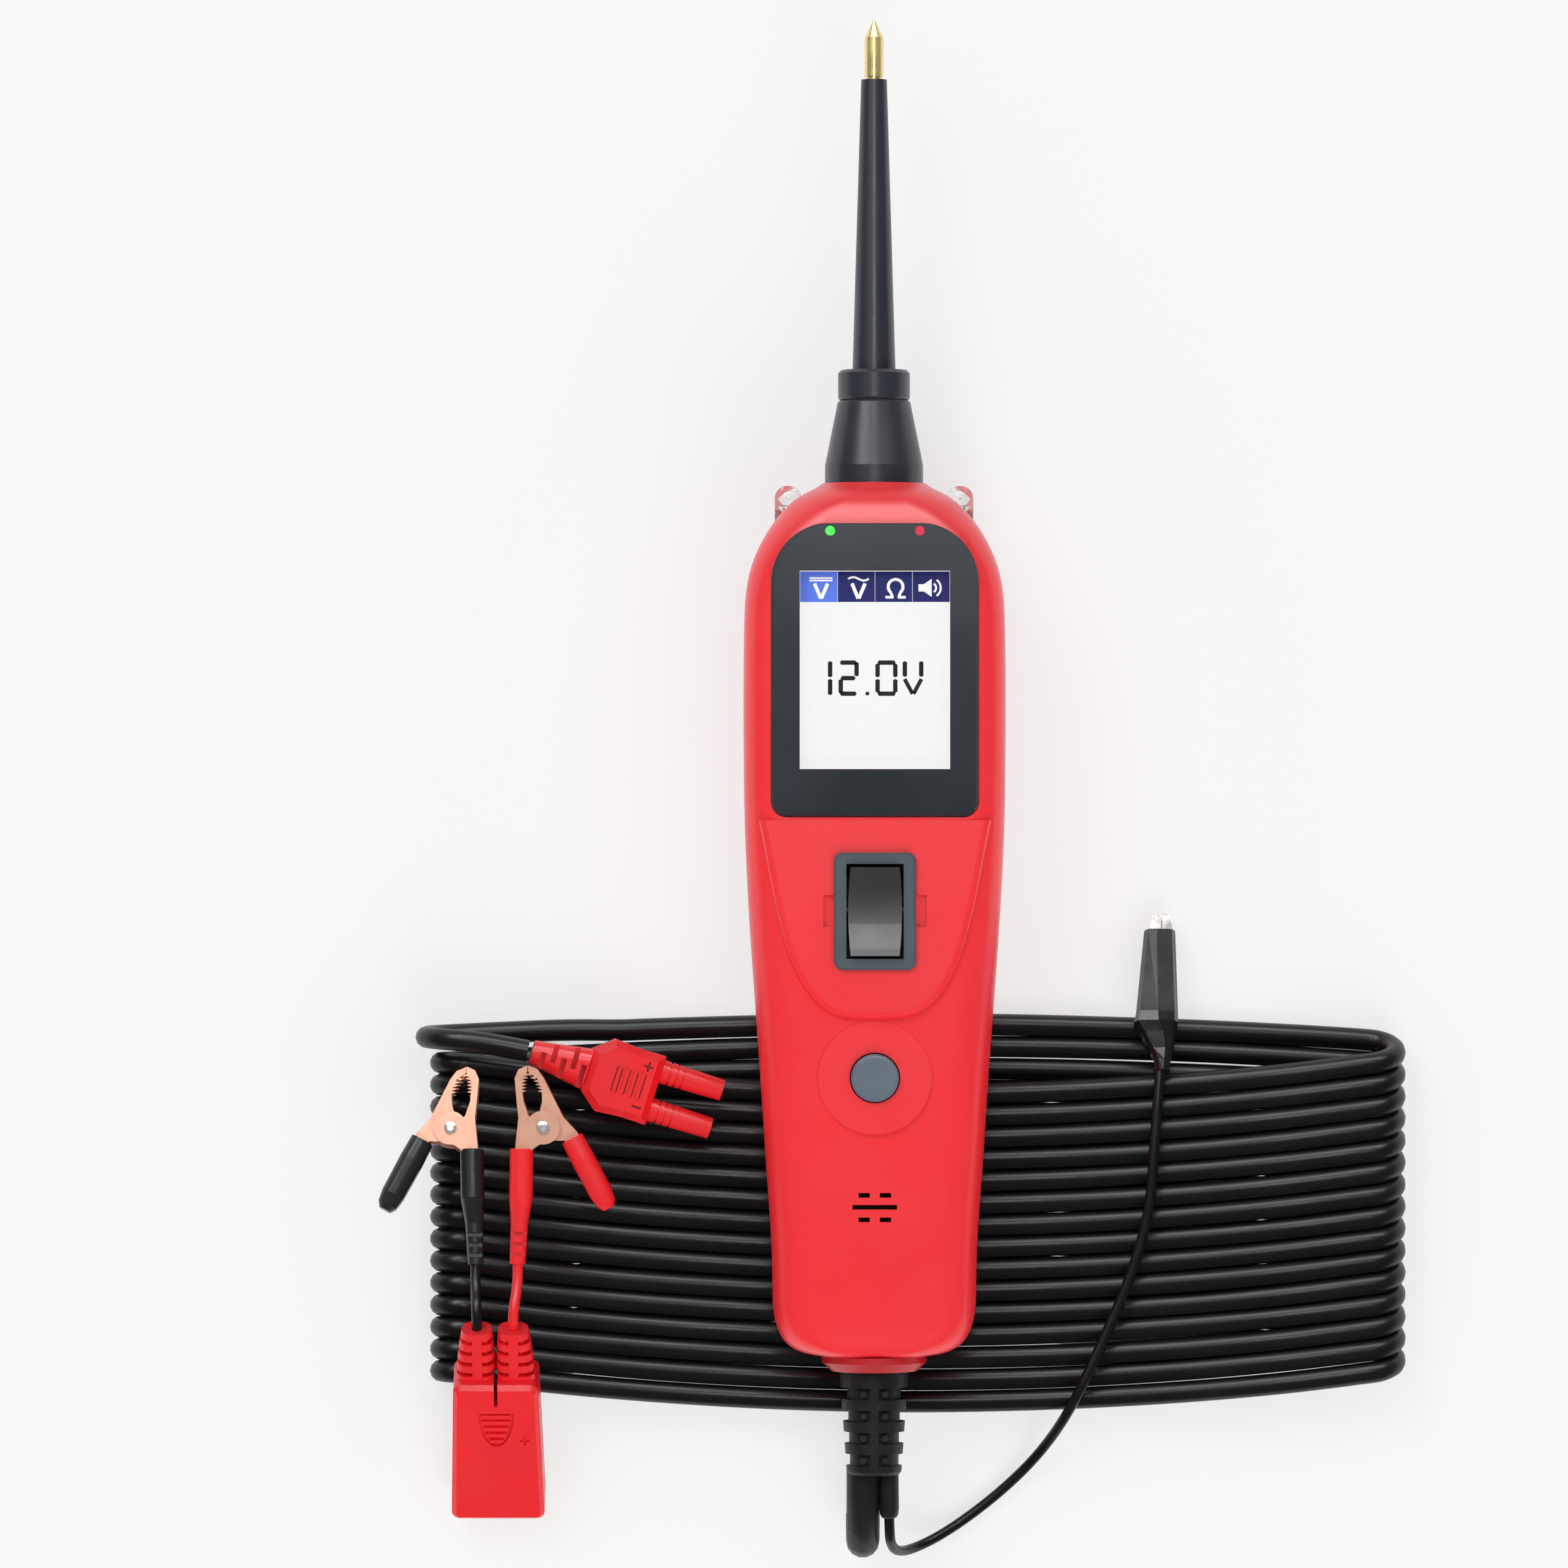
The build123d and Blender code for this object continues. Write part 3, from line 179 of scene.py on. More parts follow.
class Finish:
    """A Principled material with patterns on Object coordinates."""

    def __init__(self, name, colour, roughness, **sockets):
        self.material = bpy.data.materials.new(name)
        self.material.use_nodes = True
        self.tree = self.material.node_tree
        self.shader = self.tree.nodes["Principled BSDF"]
        self.place = self.node("ShaderNodeTexCoord").outputs["Object"]
        self.colour = tuple(colour)[:3]
        self.shader.inputs["Base Color"].default_value = (*self.colour, 1)
        self.shader.inputs["Roughness"].default_value = roughness
        for socket, value in sockets.items():
            self.shader.inputs[socket.replace("_", " ")].default_value = value

    def node(self, kind, links=None, values=None, **options):
        return add_node(self.tree, kind, links, values, **options)

    def noise(self, scale, detail, stretch=None):
        """A noise pattern, drawn out along each axis whose stretch is under 1."""
        place = self.place
        if stretch:
            place = self.node("ShaderNodeMapping", {"Vector": place},
                              {"Scale": stretch}).outputs["Vector"]
        return self.node("ShaderNodeTexNoise", {"Vector": place},
                         {"Scale": scale, "Detail": detail, "Roughness": 0.55}).outputs["Fac"]

    def cells(self, scale):
        return self.node("ShaderNodeTexVoronoi", {"Vector": self.place},
                         {"Scale": scale}).outputs["Distance"]

    def spread(self, source, low, high, from_low=0.3, from_high=0.7):
        """Stretches the middle of a pattern over a range of values."""
        return self.node("ShaderNodeMapRange", {"Value": source},
                         {"From Min": from_low, "From Max": from_high, "To Min": low, "To Max": high}
                         ).outputs["Result"]

    def tinted(self, amount, other):
        """The base colour turns to another one by an amount from 0 to 1."""
        mix = self.node("ShaderNodeMix", {"Factor": amount},
                        {COLOUR_A: (*self.colour, 1), COLOUR_B: (*other, 1)}, data_type="RGBA")
        self.tree.links.new(mix.outputs[MIXED_COLOUR], self.shader.inputs["Base Color"])
        return self

    def mottled(self, other, scale, share):
        """The base colour wanders a share of the way towards another colour."""
        return self.tinted(self.spread(self.noise(scale, MOTTLE_DETAIL), 0.0, share), other)

    def painted_shade_along(self, axis, start, end, other):
        """Painted light and shade: the base colour turns to another one along an axis, between two places
        in metres.
        """
        separate = self.node("ShaderNodeSeparateXYZ", {"Vector": self.place})
        return self.tinted(self.spread(separate.outputs[axis], 0.0, 1.0, start, end), other)

    def rubbed(self, low, high, scale):
        """The roughness wanders between two values."""
        self.tree.links.new(self.spread(self.noise(scale, RUB_DETAIL), low, high),
                            self.shader.inputs["Roughness"])
        return self

    def bumped(self, source, height, strength):
        """Adds a relief of that height in metres on top of any there is."""
        before = self.shader.inputs["Normal"]
        links = {"Height": source}
        if before.is_linked:
            links["Normal"] = before.links[0].from_socket
        bump = self.node("ShaderNodeBump", links, {"Strength": strength, "Distance": height})
        self.tree.links.new(bump.outputs["Normal"], before)
        return self

    def grained(self, scale, height, strength, stretch=None):
        """A fine relief of that height in metres."""
        return self.bumped(self.noise(scale, GRAIN_DETAIL, stretch), height, strength)


def dress(finish, *nodes):
    """Puts a finish on CAD nodes."""
    for name in nodes:
        node = frame["nodes"][name]
        if not node.material_slots:
            node.data.materials.append(finish.material)
        for each in node.material_slots:
            each.material = finish.material


def add_piece(name, verts, faces, finish, slot_name, smooth=True, body=ROOT):
    """A mesh piece whose points are in millimetres."""
    mesh = bpy.data.meshes.new(name)
    mesh.from_pydata([point(*v) for v in verts], [], faces)
    mesh.materials.append(finish.material)
    mesh.update()
    return place_piece(name, mesh, smooth, body)


def place_piece(name, mesh, smooth=True, body=ROOT, recalculate=True):
    """Puts a finished mesh in the scene. With no body it is left unattached."""
    made = new_object(name, mesh)
    if recalculate:
        shape = bmesh.new()
        shape.from_mesh(mesh)
        bmesh.ops.remove_doubles(shape, verts=shape.verts, dist=1e-7)
        bmesh.ops.recalc_face_normals(shape, faces=shape.faces)
        shape.to_mesh(mesh)
        shape.free()
    for face in mesh.polygons:
        face.use_smooth = smooth
    if body:
        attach(made, body)
    return made


def plates(name, outlines, low, high, finish, slot_name):
    """Thin upright-sided plates on flat outlines, all in one piece."""
    verts, faces = [], []
    for outline in outlines:
        count, first = len(outline), len(verts)
        verts += [(x, y, low) for x, y in outline] + [(x, y, high) for x, y in outline]
        faces.append([first + i for i in reversed(range(count))])
        faces.append([first + count + i for i in range(count)])
        faces += [[first + i, first + (i + 1) % count, first + count + (i + 1) % count, first + count + i]
                  for i in range(count)]
    return add_piece(name, verts, faces, finish, slot_name, smooth=False)


def lathe(profile, centre, segments):
    """Points and faces of (radius, y) points turned about the line through centre along Y."""
    verts, faces = [], []
    for radius, y in profile:
        for step in range(segments):
            angle = 2 * math.pi * step / segments
            verts.append((centre[0] + radius * math.cos(angle), y, centre[1] + radius * math.sin(angle)))
    for ring in range(len(profile) - 1):
        for step in range(segments):
            a, b = ring * segments + step, ring * segments + (step + 1) % segments
            faces.append([a, b, b + segments, a + segments])
    faces.append(list(range(segments)))
    faces.append([len(verts) - segments + step for step in reversed(range(segments))])
    return verts, faces


def round_curve(name, radius, roundness):
    """An empty round curve with closed ends."""
    curve = bpy.data.curves.new(name, "CURVE")
    curve.dimensions = "3D"
    curve.bevel_depth = radius
    curve.bevel_resolution = roundness
    curve.use_fill_caps = True
    return curve


def nurbs_cord(name, points, diameter, finish, fineness):
    """A round cord on one smooth open spline through the route's points, in millimetres."""
    curve = round_curve(name, diameter / 2, 4)
    curve.resolution_u = fineness
    spline = curve.splines.new("NURBS")
    spline.points.add(len(points) - 1)
    for control, place in zip(spline.points, points):
        control.co = (*point(*place), 1)
    spline.order_u = 3
    spline.use_endpoint_u = True
    curve.materials.append(finish.material)
    made = new_object(name, curve)
    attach(made, ROOT)
    return made


def centreline(cord):
    """Points along a cord's own spline."""
    bare = new_object("bare_line", cord.data.copy())
    bare.data.bevel_depth = 0
    line = mesh_from(bare)
    places = [v.co.copy() for v in line.vertices]
    bpy.data.meshes.remove(line)
    return places


def line_length(places):
    """The length of a line of points, in metres."""
    return sum((b - a).length for a, b in zip(places, places[1:]))


def stretch_of(places, start, end):
    """The part of a line between two distances along it."""
    kept, run = [], 0.0
    for a, b in zip(places, places[1:]):
        step = (b - a).length
        for distance in (start, end):
            if run <= distance < run + step:
                kept.append(a.lerp(b, (distance - run) / step))
        if start < run + step < end:
            kept.append(b.copy())
        run += step
    return kept


SLEEVE_ROUNDING = 1.2 * MM  # length over which a sleeve's last end is rounded
SLEEVE_END = 0.8  # radius at that end, as a share of the sleeve's own


def sleeve_along(name, places, radius, finish):
    """A closed sleeve along a line, its last end rounded over."""
    curve = round_curve(name, radius, 5)
    spline = curve.splines.new("POLY")
    spline.points.add(len(places) - 1)
    left, before = line_length(places), places[0]
    for control, place in zip(spline.points, places):
        left -= (place - before).length
        before = place
        control.co = (*place, 1)
        if left <= SLEEVE_ROUNDING:
            control.radius = SLEEVE_END + (1 - SLEEVE_END) * math.sqrt(max(left, 0) / SLEEVE_ROUNDING)
    mesh = mesh_from(new_object(name + "_curve", curve))
    mesh.materials.clear()
    mesh.materials.append(finish.material)
    return place_piece(name, mesh)


# ---- finishes


def cord_finish(name="cord_jacket"):
    colours = settings()[1]
    finish = Finish(name, colours.cord, 0.36, Coat_Weight=0.1, Coat_Roughness=0.1, Specular_IOR_Level=0.36)
    return finish.mottled((0.009, 0.009, 0.01), 60, 0.8).rubbed(0.34, 0.42, 90).grained(500, 0.00002, 0.3)


def vinyl_finish(name, colour, other):
    finish = Finish(name, colour, 0.36, Coat_Weight=0.15, Coat_Roughness=0.2)
    return finish.mottled(other, 70, 0.6).rubbed(0.3, 0.46, 140).grained(1100, 0.00003, 0.45)


def metal_finish(name, colour, roughness, other, scale=160, share=0.8):
    """Plated or turned metal. A lower metal share stands for a duller plate."""
    finish = Finish(name, colour, roughness, Metallic=share)
    finish.mottled(other, scale, 0.8).rubbed(roughness - 0.07, roughness + 0.12, 2.5 * scale)
    return finish.grained(9 * scale, 0.00001, 0.35)


VIEW_CENTRE = (-16.65, -6.85, AXIS_HEIGHT)


class TEST_LIGHT_OT_camera(bpy.types.Operator):
    """Set the camera straight above the tester"""

    bl_idname = "test_light.camera"
    bl_label = "Camera"

    def execute(self, context):
        studio = context.scene.test_light_studio
        data = bpy.data.cameras.new("camera")
        data.lens, data.sensor_width = studio.lens, 36.0
        distance = studio.view_width * studio.lens / data.sensor_width
        data.clip_start, data.clip_end = 0.05, 20.0
        camera = new_object("camera", data)
        camera.location = point(*VIEW_CENTRE) + Vector((0, 0, distance))
        context.scene.camera = camera
        return {"FINISHED"}


# ---- cords

SUPPLY_X, LEAD_X = -2.0, 2.7
SUPPLY_SLEEVE, SUPPLY_SLEEVE_R = (7.5 * MM, 37.0 * MM), 3.1 * MM  # where along the cord, and its radius
LEAD_SLEEVE, LEAD_SLEEVE_R = (4.5 * MM, 16.5 * MM), 1.85 * MM

# the winding: its middle and half length along X, its first lane's Y and the heights of its two layers
WINDING_CENTRE, WINDING_HALF = 8.3, 84.45
FIRST_LANE = -58.8
LOWER_Z, UPPER_Z, UPPER_END_Z = 2.05, 6.15, 11.05
UPPER_BOW, LOWER_BOW = -6.0, 3.0  # how far a strand's middle stands off the line between its ends
HELD_HALF = 26.0  # the tester keeps the strands still and low this far from its axis
LOOSE_AFTER, RISEN_AFTER = 20.0, 58.0  # beyond that, where they sway freely and where they have risen
END_BEND = 4.5
HALF_CORNER = math.radians(22.5)  # bends and the loop are drawn on an octagon's corners
STRAND_END = 0.978  # its last point is as far from the bend's points as these are from each other

LOOP_X, LOOP_Z, LOOP_R = -76.4, 9.0, 6.85
LOOP_SIDE = LOOP_R * math.tan(HALF_CORNER)
END_ROUTE = [(-57.0, -52.8, 2.15), (-69.0, -53.3, 2.15),
             (LOOP_X - LOOP_SIDE, -53.8, LOOP_Z - LOOP_R), (LOOP_X - LOOP_R, -53.9, LOOP_Z - LOOP_SIDE),
             (LOOP_X - LOOP_R, -54.0, LOOP_Z + LOOP_SIDE), (LOOP_X - LOOP_SIDE, -54.2, LOOP_Z + LOOP_R),
             (-72.5, -54.7, 16.6), (-63.9, -56.4, 16.5)]
LEAD_ROUTE = [(LEAD_X, -126.0, AXIS_HEIGHT), (LEAD_X, -144.4, AXIS_HEIGHT), (3.4, -149.2, 13.5),
              (6.8, -150.0, 5.2), (14.2, -146.6, 1.4), (23.6, -139.6, 1.1), (31.4, -131.8, 3.0),
              (37.0, -122.6, 11.4),
              (42.2, -111.4, 11.3), (47.8, -98.6, 11.5), (51.4, -86.0, 12.1), (52.2, -73.0, 12.4),
              (53.3, -60.4, 11.1), (53.5, -56.6, 10.0)]


def ease(value):
    """A soft step from 0 to 1."""
    value = min(max(value, 0.0), 1.0)
    return value * value * (3 - 2 * value)


def lane(index, along, upper, sizes):
    """A point of one strand: along runs from -1 at the left end to 1 at the right end."""
    x = WINDING_CENTRE + WINDING_HALF * along
    beyond = abs(x) - HELD_HALF
    bow = (1 - along * along) * (UPPER_BOW if upper else LOWER_BOW)
    sway = sizes.winding_sway / MM * ease(beyond / LOOSE_AFTER) * (1 - along ** 4)
    wander = 0.3 * sway * math.sin(2.7 * index + 3.1 * along + (1.3 if upper else 0.0))
    y = FIRST_LANE - sizes.winding_pitch / MM * index + bow + wander
    if not upper:
        return (x, y, LOWER_Z)
    risen = UPPER_Z + (UPPER_END_Z - UPPER_Z) * ease(beyond / RISEN_AFTER)
    return (x, y, risen + 1.2 * sway * math.sin(1.9 * index - 4.3 * along))


def strand(index, upper, sizes, start, end, count=11):
    """Points of a strand from one place along it to another, closer together near its ends."""
    shares = [(1 - math.cos(math.pi * step / (count - 1))) / 2 for step in range(count)]
    return [lane(index, start + (end - start) * share, upper, sizes) for share in shares]


def end_bend(side, y_from, y_to, rising):
    """Control points of the half turn at one end of the winding."""
    centre = (UPPER_END_Z + LOWER_Z) / 2
    corner = END_BEND / math.cos(HALF_CORNER)
    points = []
    for step, halves in enumerate((-3, -1, 1, 3)):
        turn = HALF_CORNER * (halves if rising else -halves)
        x = WINDING_CENTRE + side * (WINDING_HALF + corner * math.cos(turn))
        y = y_from + (y_to - y_from) * ease((step + 0.5) / 4)
        points.append((x, y, centre + corner * math.sin(turn)))
    return points


def supply_route(sizes):
    """Down behind the boot, into the winding, round all its turns and up to the plug."""
    last = sizes.winding_turns - 1
    pitch = sizes.winding_pitch / MM
    route = [(SUPPLY_X, -126.0, AXIS_HEIGHT), (SUPPLY_X, -147.6, AXIS_HEIGHT), (SUPPLY_X, -147.6, 3.0),
             (SUPPLY_X, -134.0, 2.1), (SUPPLY_X, -120.4, LOWER_Z)]
    start = lane(last, 0.0, False, sizes)
    route += [(SUPPLY_X - 2.4, start[1] - 1.0, LOWER_Z), (SUPPLY_X - 9.0, start[1] - 0.2, LOWER_Z)]
    route += strand(last, False, sizes, -0.28, -STRAND_END, 7)
    for index in range(last, -1, -1):
        y = FIRST_LANE - pitch * index
        route += end_bend(-1, y, y, True) + strand(index, True, sizes, -STRAND_END, STRAND_END)
        route += end_bend(1, y, y + pitch, False)
        route += strand(index - 1, False, sizes, STRAND_END, -STRAND_END if index else -0.66)
    return route + END_ROUTE


class TEST_LIGHT_OT_supply_cord(bpy.types.Operator):
    """Lay the supply cord: from the boot, through its winding, to the plug"""

    bl_idname = "test_light.supply_cord"
    bl_label = "Supply cord"

    def execute(self, context):
        sizes = settings()[0]
        cord = nurbs_cord("supply_cord", supply_route(sizes), sizes.cord_diameter, cord_finish(),
                          5)
        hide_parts("supply_cable", "cable_coil", "supply_cable_end")
        places = centreline(cord)
        sleeve = sleeve_along("supply_cord_sleeve", stretch_of(places, *SUPPLY_SLEEVE), SUPPLY_SLEEVE_R,
                              boot_finish("cord_sleeve"))
        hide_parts("supply_sleeve")
        return {"FINISHED"}


class TEST_LIGHT_OT_ground_lead(bpy.types.Operator):
    """Lay the ground lead: from the boot, over the winding, to its clip"""

    bl_idname = "test_light.ground_lead"
    bl_label = "Ground lead"

    def execute(self, context):
        sizes = settings()[0]
        lead = nurbs_cord("ground_cord", LEAD_ROUTE, sizes.lead_diameter, cord_finish("lead_jacket"),
                          16)
        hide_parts("ground_lead")
        places = centreline(lead)
        sleeve = sleeve_along("ground_cord_sleeve", stretch_of(places, *LEAD_SLEEVE), LEAD_SLEEVE_R,
                              boot_finish("lead_sleeve"))
        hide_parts("ground_sleeve")
        return {"FINISHED"}


# ---- tester


def boot_finish(name):
    finish = Finish(name, (0.009, 0.009, 0.01), 0.46)
    finish.mottled((0.015, 0.015, 0.016), 300, 0.7).rubbed(0.4, 0.55, 400)
    return finish.bumped(finish.cells(2600), 0.00004, 0.6)


class TEST_LIGHT_OT_housing(bpy.types.Operator):
    """Finish the two shells, the ring and the boot at the tail"""

    bl_idname = "test_light.housing"
    bl_label = "Housing"

    def execute(self, context):
        colours = settings()[1]
        red = Finish("moulded_red", colours.housing, 0.34, Coat_Weight=0.3, Coat_Roughness=0.22)
        red.mottled((0.86, 0.018, 0.028), 26, 0.5).rubbed(0.3, 0.42, 55)
        red.grained(1500, 0.000016, 0.35).grained(38, 0.00022, 0.18)
        dress(red, "front_shell", "back_shell")
        ring = Finish("ring_red", (0.50, 0.006, 0.012), 0.38, Coat_Weight=0.2)
        ring.mottled((0.40, 0.004, 0.008), 90, 0.6).rubbed(0.32, 0.48, 160).grained(1400, 0.00002, 0.4)
        dress(ring, "tail_ring")
        dress(boot_finish("boot_rubber"), "strain_relief")
        return {"FINISHED"}


class TEST_LIGHT_OT_probe(bpy.types.Operator):
    """Finish the nose cone, the sleeve, the tip and its socket"""

    bl_idname = "test_light.probe"
    bl_label = "Probe"

    def execute(self, context):
        colours = settings()[1]
        dark = Finish("dark_moulding", colours.dark_plastic, 0.33, Coat_Weight=0.2, Coat_Roughness=0.25)
        dark.mottled((0.03, 0.033, 0.046), 45, 0.7).rubbed(0.28, 0.42, 80)
        dark.grained(900, 0.00002, 0.4, stretch=(1.0, 0.25, 1.0))
        dress(dark, "nose_cone", "probe_sleeve")
        brass = metal_finish("turned_brass", (0.93, 0.74, 0.3), 0.26, (0.96, 0.8, 0.4), 60, 0.7)
        dress(brass, "probe_tip", "tip_socket", "rocker_terminals", "plug_contacts", "block_contacts")
        return {"FINISHED"}


# ---- screen

SCREEN_HALF = 13.7
HEADER_TOP, HEADER_BOTTOM = 32.1, 26.5
CELL, CELL_GAP = 2 * SCREEN_HALF / 4, 0.06
DIRECT_X, ALTERNATING_X, OHM_X, SOUND_X = -9.86, -3.0, 3.8, 9.6  # middles of the four icons
DIGIT_TOP, DIGIT_MIDDLE, DIGIT_LOW = 15.7, 12.55, 9.4
STROKE, SLANTED_STROKE = 0.84, 0.74
PICTURE_LOW = DISPLAY_FACE + 0.01
CELL_TOP, READING_TOP = PICTURE_LOW + 0.04, PICTURE_LOW + 0.05
ICON_LOW, ICON_TOP = PICTURE_LOW + 0.06, PICTURE_LOW + 0.1


def box_outline(x0, x1, y0, y1):
    """The four corners of an upright rectangle."""
    return [(x0, y0), (x1, y0), (x1, y1), (x0, y1)]


def upright(x, y0, y1):
    """An upright digit stroke with slanted ends."""
    half, tip = STROKE / 2, 0.22
    return [(x - half, y0 + tip), (x, y0), (x + half, y0 + tip),
            (x + half, y1 - tip), (x, y1), (x - half, y1 - tip)]


def level(x0, x1, y):
    """A level digit stroke with slanted ends."""
    half, tip = STROKE / 2, 0.3
    return [(x0, y), (x0 + tip, y - half), (x1 - tip, y - half),
            (x1, y), (x1 - tip, y + half), (x0 + tip, y + half)]


def bar(x0, y0, x1, y1, width):
    """A stroke between two points."""
    run = Vector((x1 - x0, y1 - y0))
    side = Vector((-run.y, run.x)).normalized() * width / 2
    return [(x0 + side.x, y0 + side.y), (x0 - side.x, y0 - side.y), (x1 - side.x, y1 - side.y),
            (x1 + side.x, y1 + side.y)]


def band(centre, inner, outer, start, end, steps):
    """Pieces of a ring between two angles in degrees."""
    pieces = []
    for step in range(steps):
        a, b = (math.radians(start + (end - start) * k / steps) for k in (step, step + 1))
        pieces.append([(centre[0] + r * math.cos(t), centre[1] + r * math.sin(t))
                       for r, t in ((inner, a), (outer, a), (outer, b), (inner, b))])
    return pieces


def header_cell(index):
    """One of the header's four cells, with a gap before all but the first."""
    left = -SCREEN_HALF + CELL * index
    return box_outline(left + (CELL_GAP if index else 0.0), left + CELL, HEADER_BOTTOM, HEADER_TOP)


def letter_v(x):
    """The letter V of the two voltage icons."""
    return [bar(x + side * 1.2, 29.9, x + side * 0.05, 27.15, 0.62) for side in (-1, 1)]


def direct_icon():
    """Direct voltage: a V under two bars."""
    return [box_outline(DIRECT_X - 2.1, DIRECT_X + 2.1, low, low + 0.3)
            for low in (30.75, 30.3)] + letter_v(DIRECT_X)


def alternating_icon():
    """Alternating voltage: a V under one period of a wave."""
    half, height, steps = 1.9, 0.32, 12
    wave = [(ALTERNATING_X + half * (2 * step / steps - 1),
             30.75 + height * math.sin(2 * math.pi * step / steps)) for step in range(steps + 1)]
    return letter_v(ALTERNATING_X) + [bar(*a, *b, 0.34) for a, b in zip(wave, wave[1:])]


def ohm_icon():
    """Resistance: the letter omega."""
    strokes = band((OHM_X, 29.3), 1.1, 1.62, -52, 232, 18)
    for side in (-1, 1):
        strokes.append(bar(OHM_X + side * 0.85, 28.2, OHM_X + side * 0.62, 27.5, 0.5))
        foot = sorted((OHM_X + side * 0.4, OHM_X + side * 1.85))
        strokes.append(box_outline(*foot, 27.15, 27.6))
    return strokes


def sound_icon():
    """Continuity: a loudspeaker with two waves."""
    neck, rim = SOUND_X - 0.62, SOUND_X + 0.8
    strokes = [box_outline(SOUND_X - 1.6, SOUND_X - 0.6, 28.45, 29.75),
               [(neck, 28.45), (rim, 27.45), (rim, 30.75), (neck, 29.75)]]
    for inner, steps in ((0.75, 8), (1.6, 10)):
        strokes += band((SOUND_X + 0.7, 29.1), inner, inner + 0.35, -55, 55, steps)
    return strokes


def digit_one(x):
    return [upright(x, DIGIT_MIDDLE + 0.12, DIGIT_TOP), upright(x, DIGIT_LOW, DIGIT_MIDDLE - 0.12)]


def digit_two(left, right):
    return [level(left - 0.2, right + 0.05, DIGIT_TOP - 0.3),
            upright(right, DIGIT_MIDDLE + 0.3, DIGIT_TOP - 0.15),
            level(left - 0.05, right - 0.15, DIGIT_MIDDLE),
            upright(left, DIGIT_LOW + 0.3, DIGIT_MIDDLE - 0.15),
            level(left - 0.2, right + 0.05, DIGIT_LOW + 0.3)]


def digit_nought(left, right):
    strokes = [level(left - 0.05, right + 0.1, y) for y in (DIGIT_TOP - 0.3, DIGIT_LOW + 0.3)]
    for x in (left, right):
        strokes += [upright(x, DIGIT_MIDDLE + 0.12, DIGIT_TOP - 0.45),
                    upright(x, DIGIT_LOW + 0.45, DIGIT_MIDDLE - 0.12)]
    return strokes


def volt_sign(x):
    strokes = []
    for side in (-1, 1):
        strokes.append(upright(x + side * 1.5, DIGIT_MIDDLE + 0.2, DIGIT_TOP))
        strokes.append(bar(x + side * 1.55, DIGIT_MIDDLE - 0.15, x + side * 0.08, DIGIT_LOW + 0.25,
                           SLANTED_STROKE))
    return strokes


def reading():
    """Strokes of the reading 12.0V."""
    dot = box_outline(-1.7, -1.05, DIGIT_LOW, DIGIT_LOW + 0.65)
    return [*digit_one(-8.2), *digit_two(-6.25, -3.35), dot, *digit_nought(0.5, 3.75), *volt_sign(7.0)]


def lit_finish(name, colour, strength, body=1.0):
    """A glowing colour on a body that is as light as the glow, or darker."""
    finish = Finish(name, [body * share for share in colour], 0.4, Emission_Color=(*colour, 1),
                    Emission_Strength=strength)
    return finish.grained(3000, 0.000002, 0.2)


class TEST_LIGHT_OT_screen(bpy.types.Operator):
    """Draw the screen's header, icons and reading, and finish its fascia and window"""

    bl_idname = "test_light.screen"
    bl_label = "Screen"

    def execute(self, context):
        colours = settings()[1]
        fascia = Finish("fascia_gloss", colours.fascia, 0.2, Coat_Weight=0.3, Coat_Roughness=0.08)
        fascia.mottled((0.025, 0.032, 0.04), 24, 0.7).rubbed(0.16, 0.26, 40).grained(26, 0.0001, 0.12)
        dress(fascia, "screen_bezel")
        window = Finish("window_clear", (0.02, 0.02, 0.022), 0.06, Alpha=0.07)
        dress(window.rubbed(0.04, 0.1, 60).grained(30, 0.00003, 0.1), "screen_window")
        white = lit_finish("display_white", (0.95, 0.96, 0.97), 0.93, 0.2)
        dress(white, "display_panel")
        navy = lit_finish("header_navy", (0.0, 0.003, 0.14), 0.35)
        sky = lit_finish("header_blue", (0.085, 0.19, 0.84), 0.35)
        ink = Finish("reading_ink", (0.006, 0.006, 0.007), 0.5).grained(2500, 0.000002, 0.2)
        icon_white = lit_finish("icon_white", (0.97, 0.98, 1.0), 0.35)
        icons = direct_icon() + alternating_icon() + ohm_icon() + sound_icon()
        plates("screen_header", [header_cell(index) for index in (1, 2, 3)],
               PICTURE_LOW, CELL_TOP, navy, "display")
        plates("screen_header_chosen", [header_cell(0)], PICTURE_LOW, CELL_TOP, sky, "display")
        plates("screen_icons", icons, ICON_LOW, ICON_TOP, icon_white, "display")
        plates("screen_reading", reading(), PICTURE_LOW, READING_TOP, ink, "display")
        return {"FINISHED"}


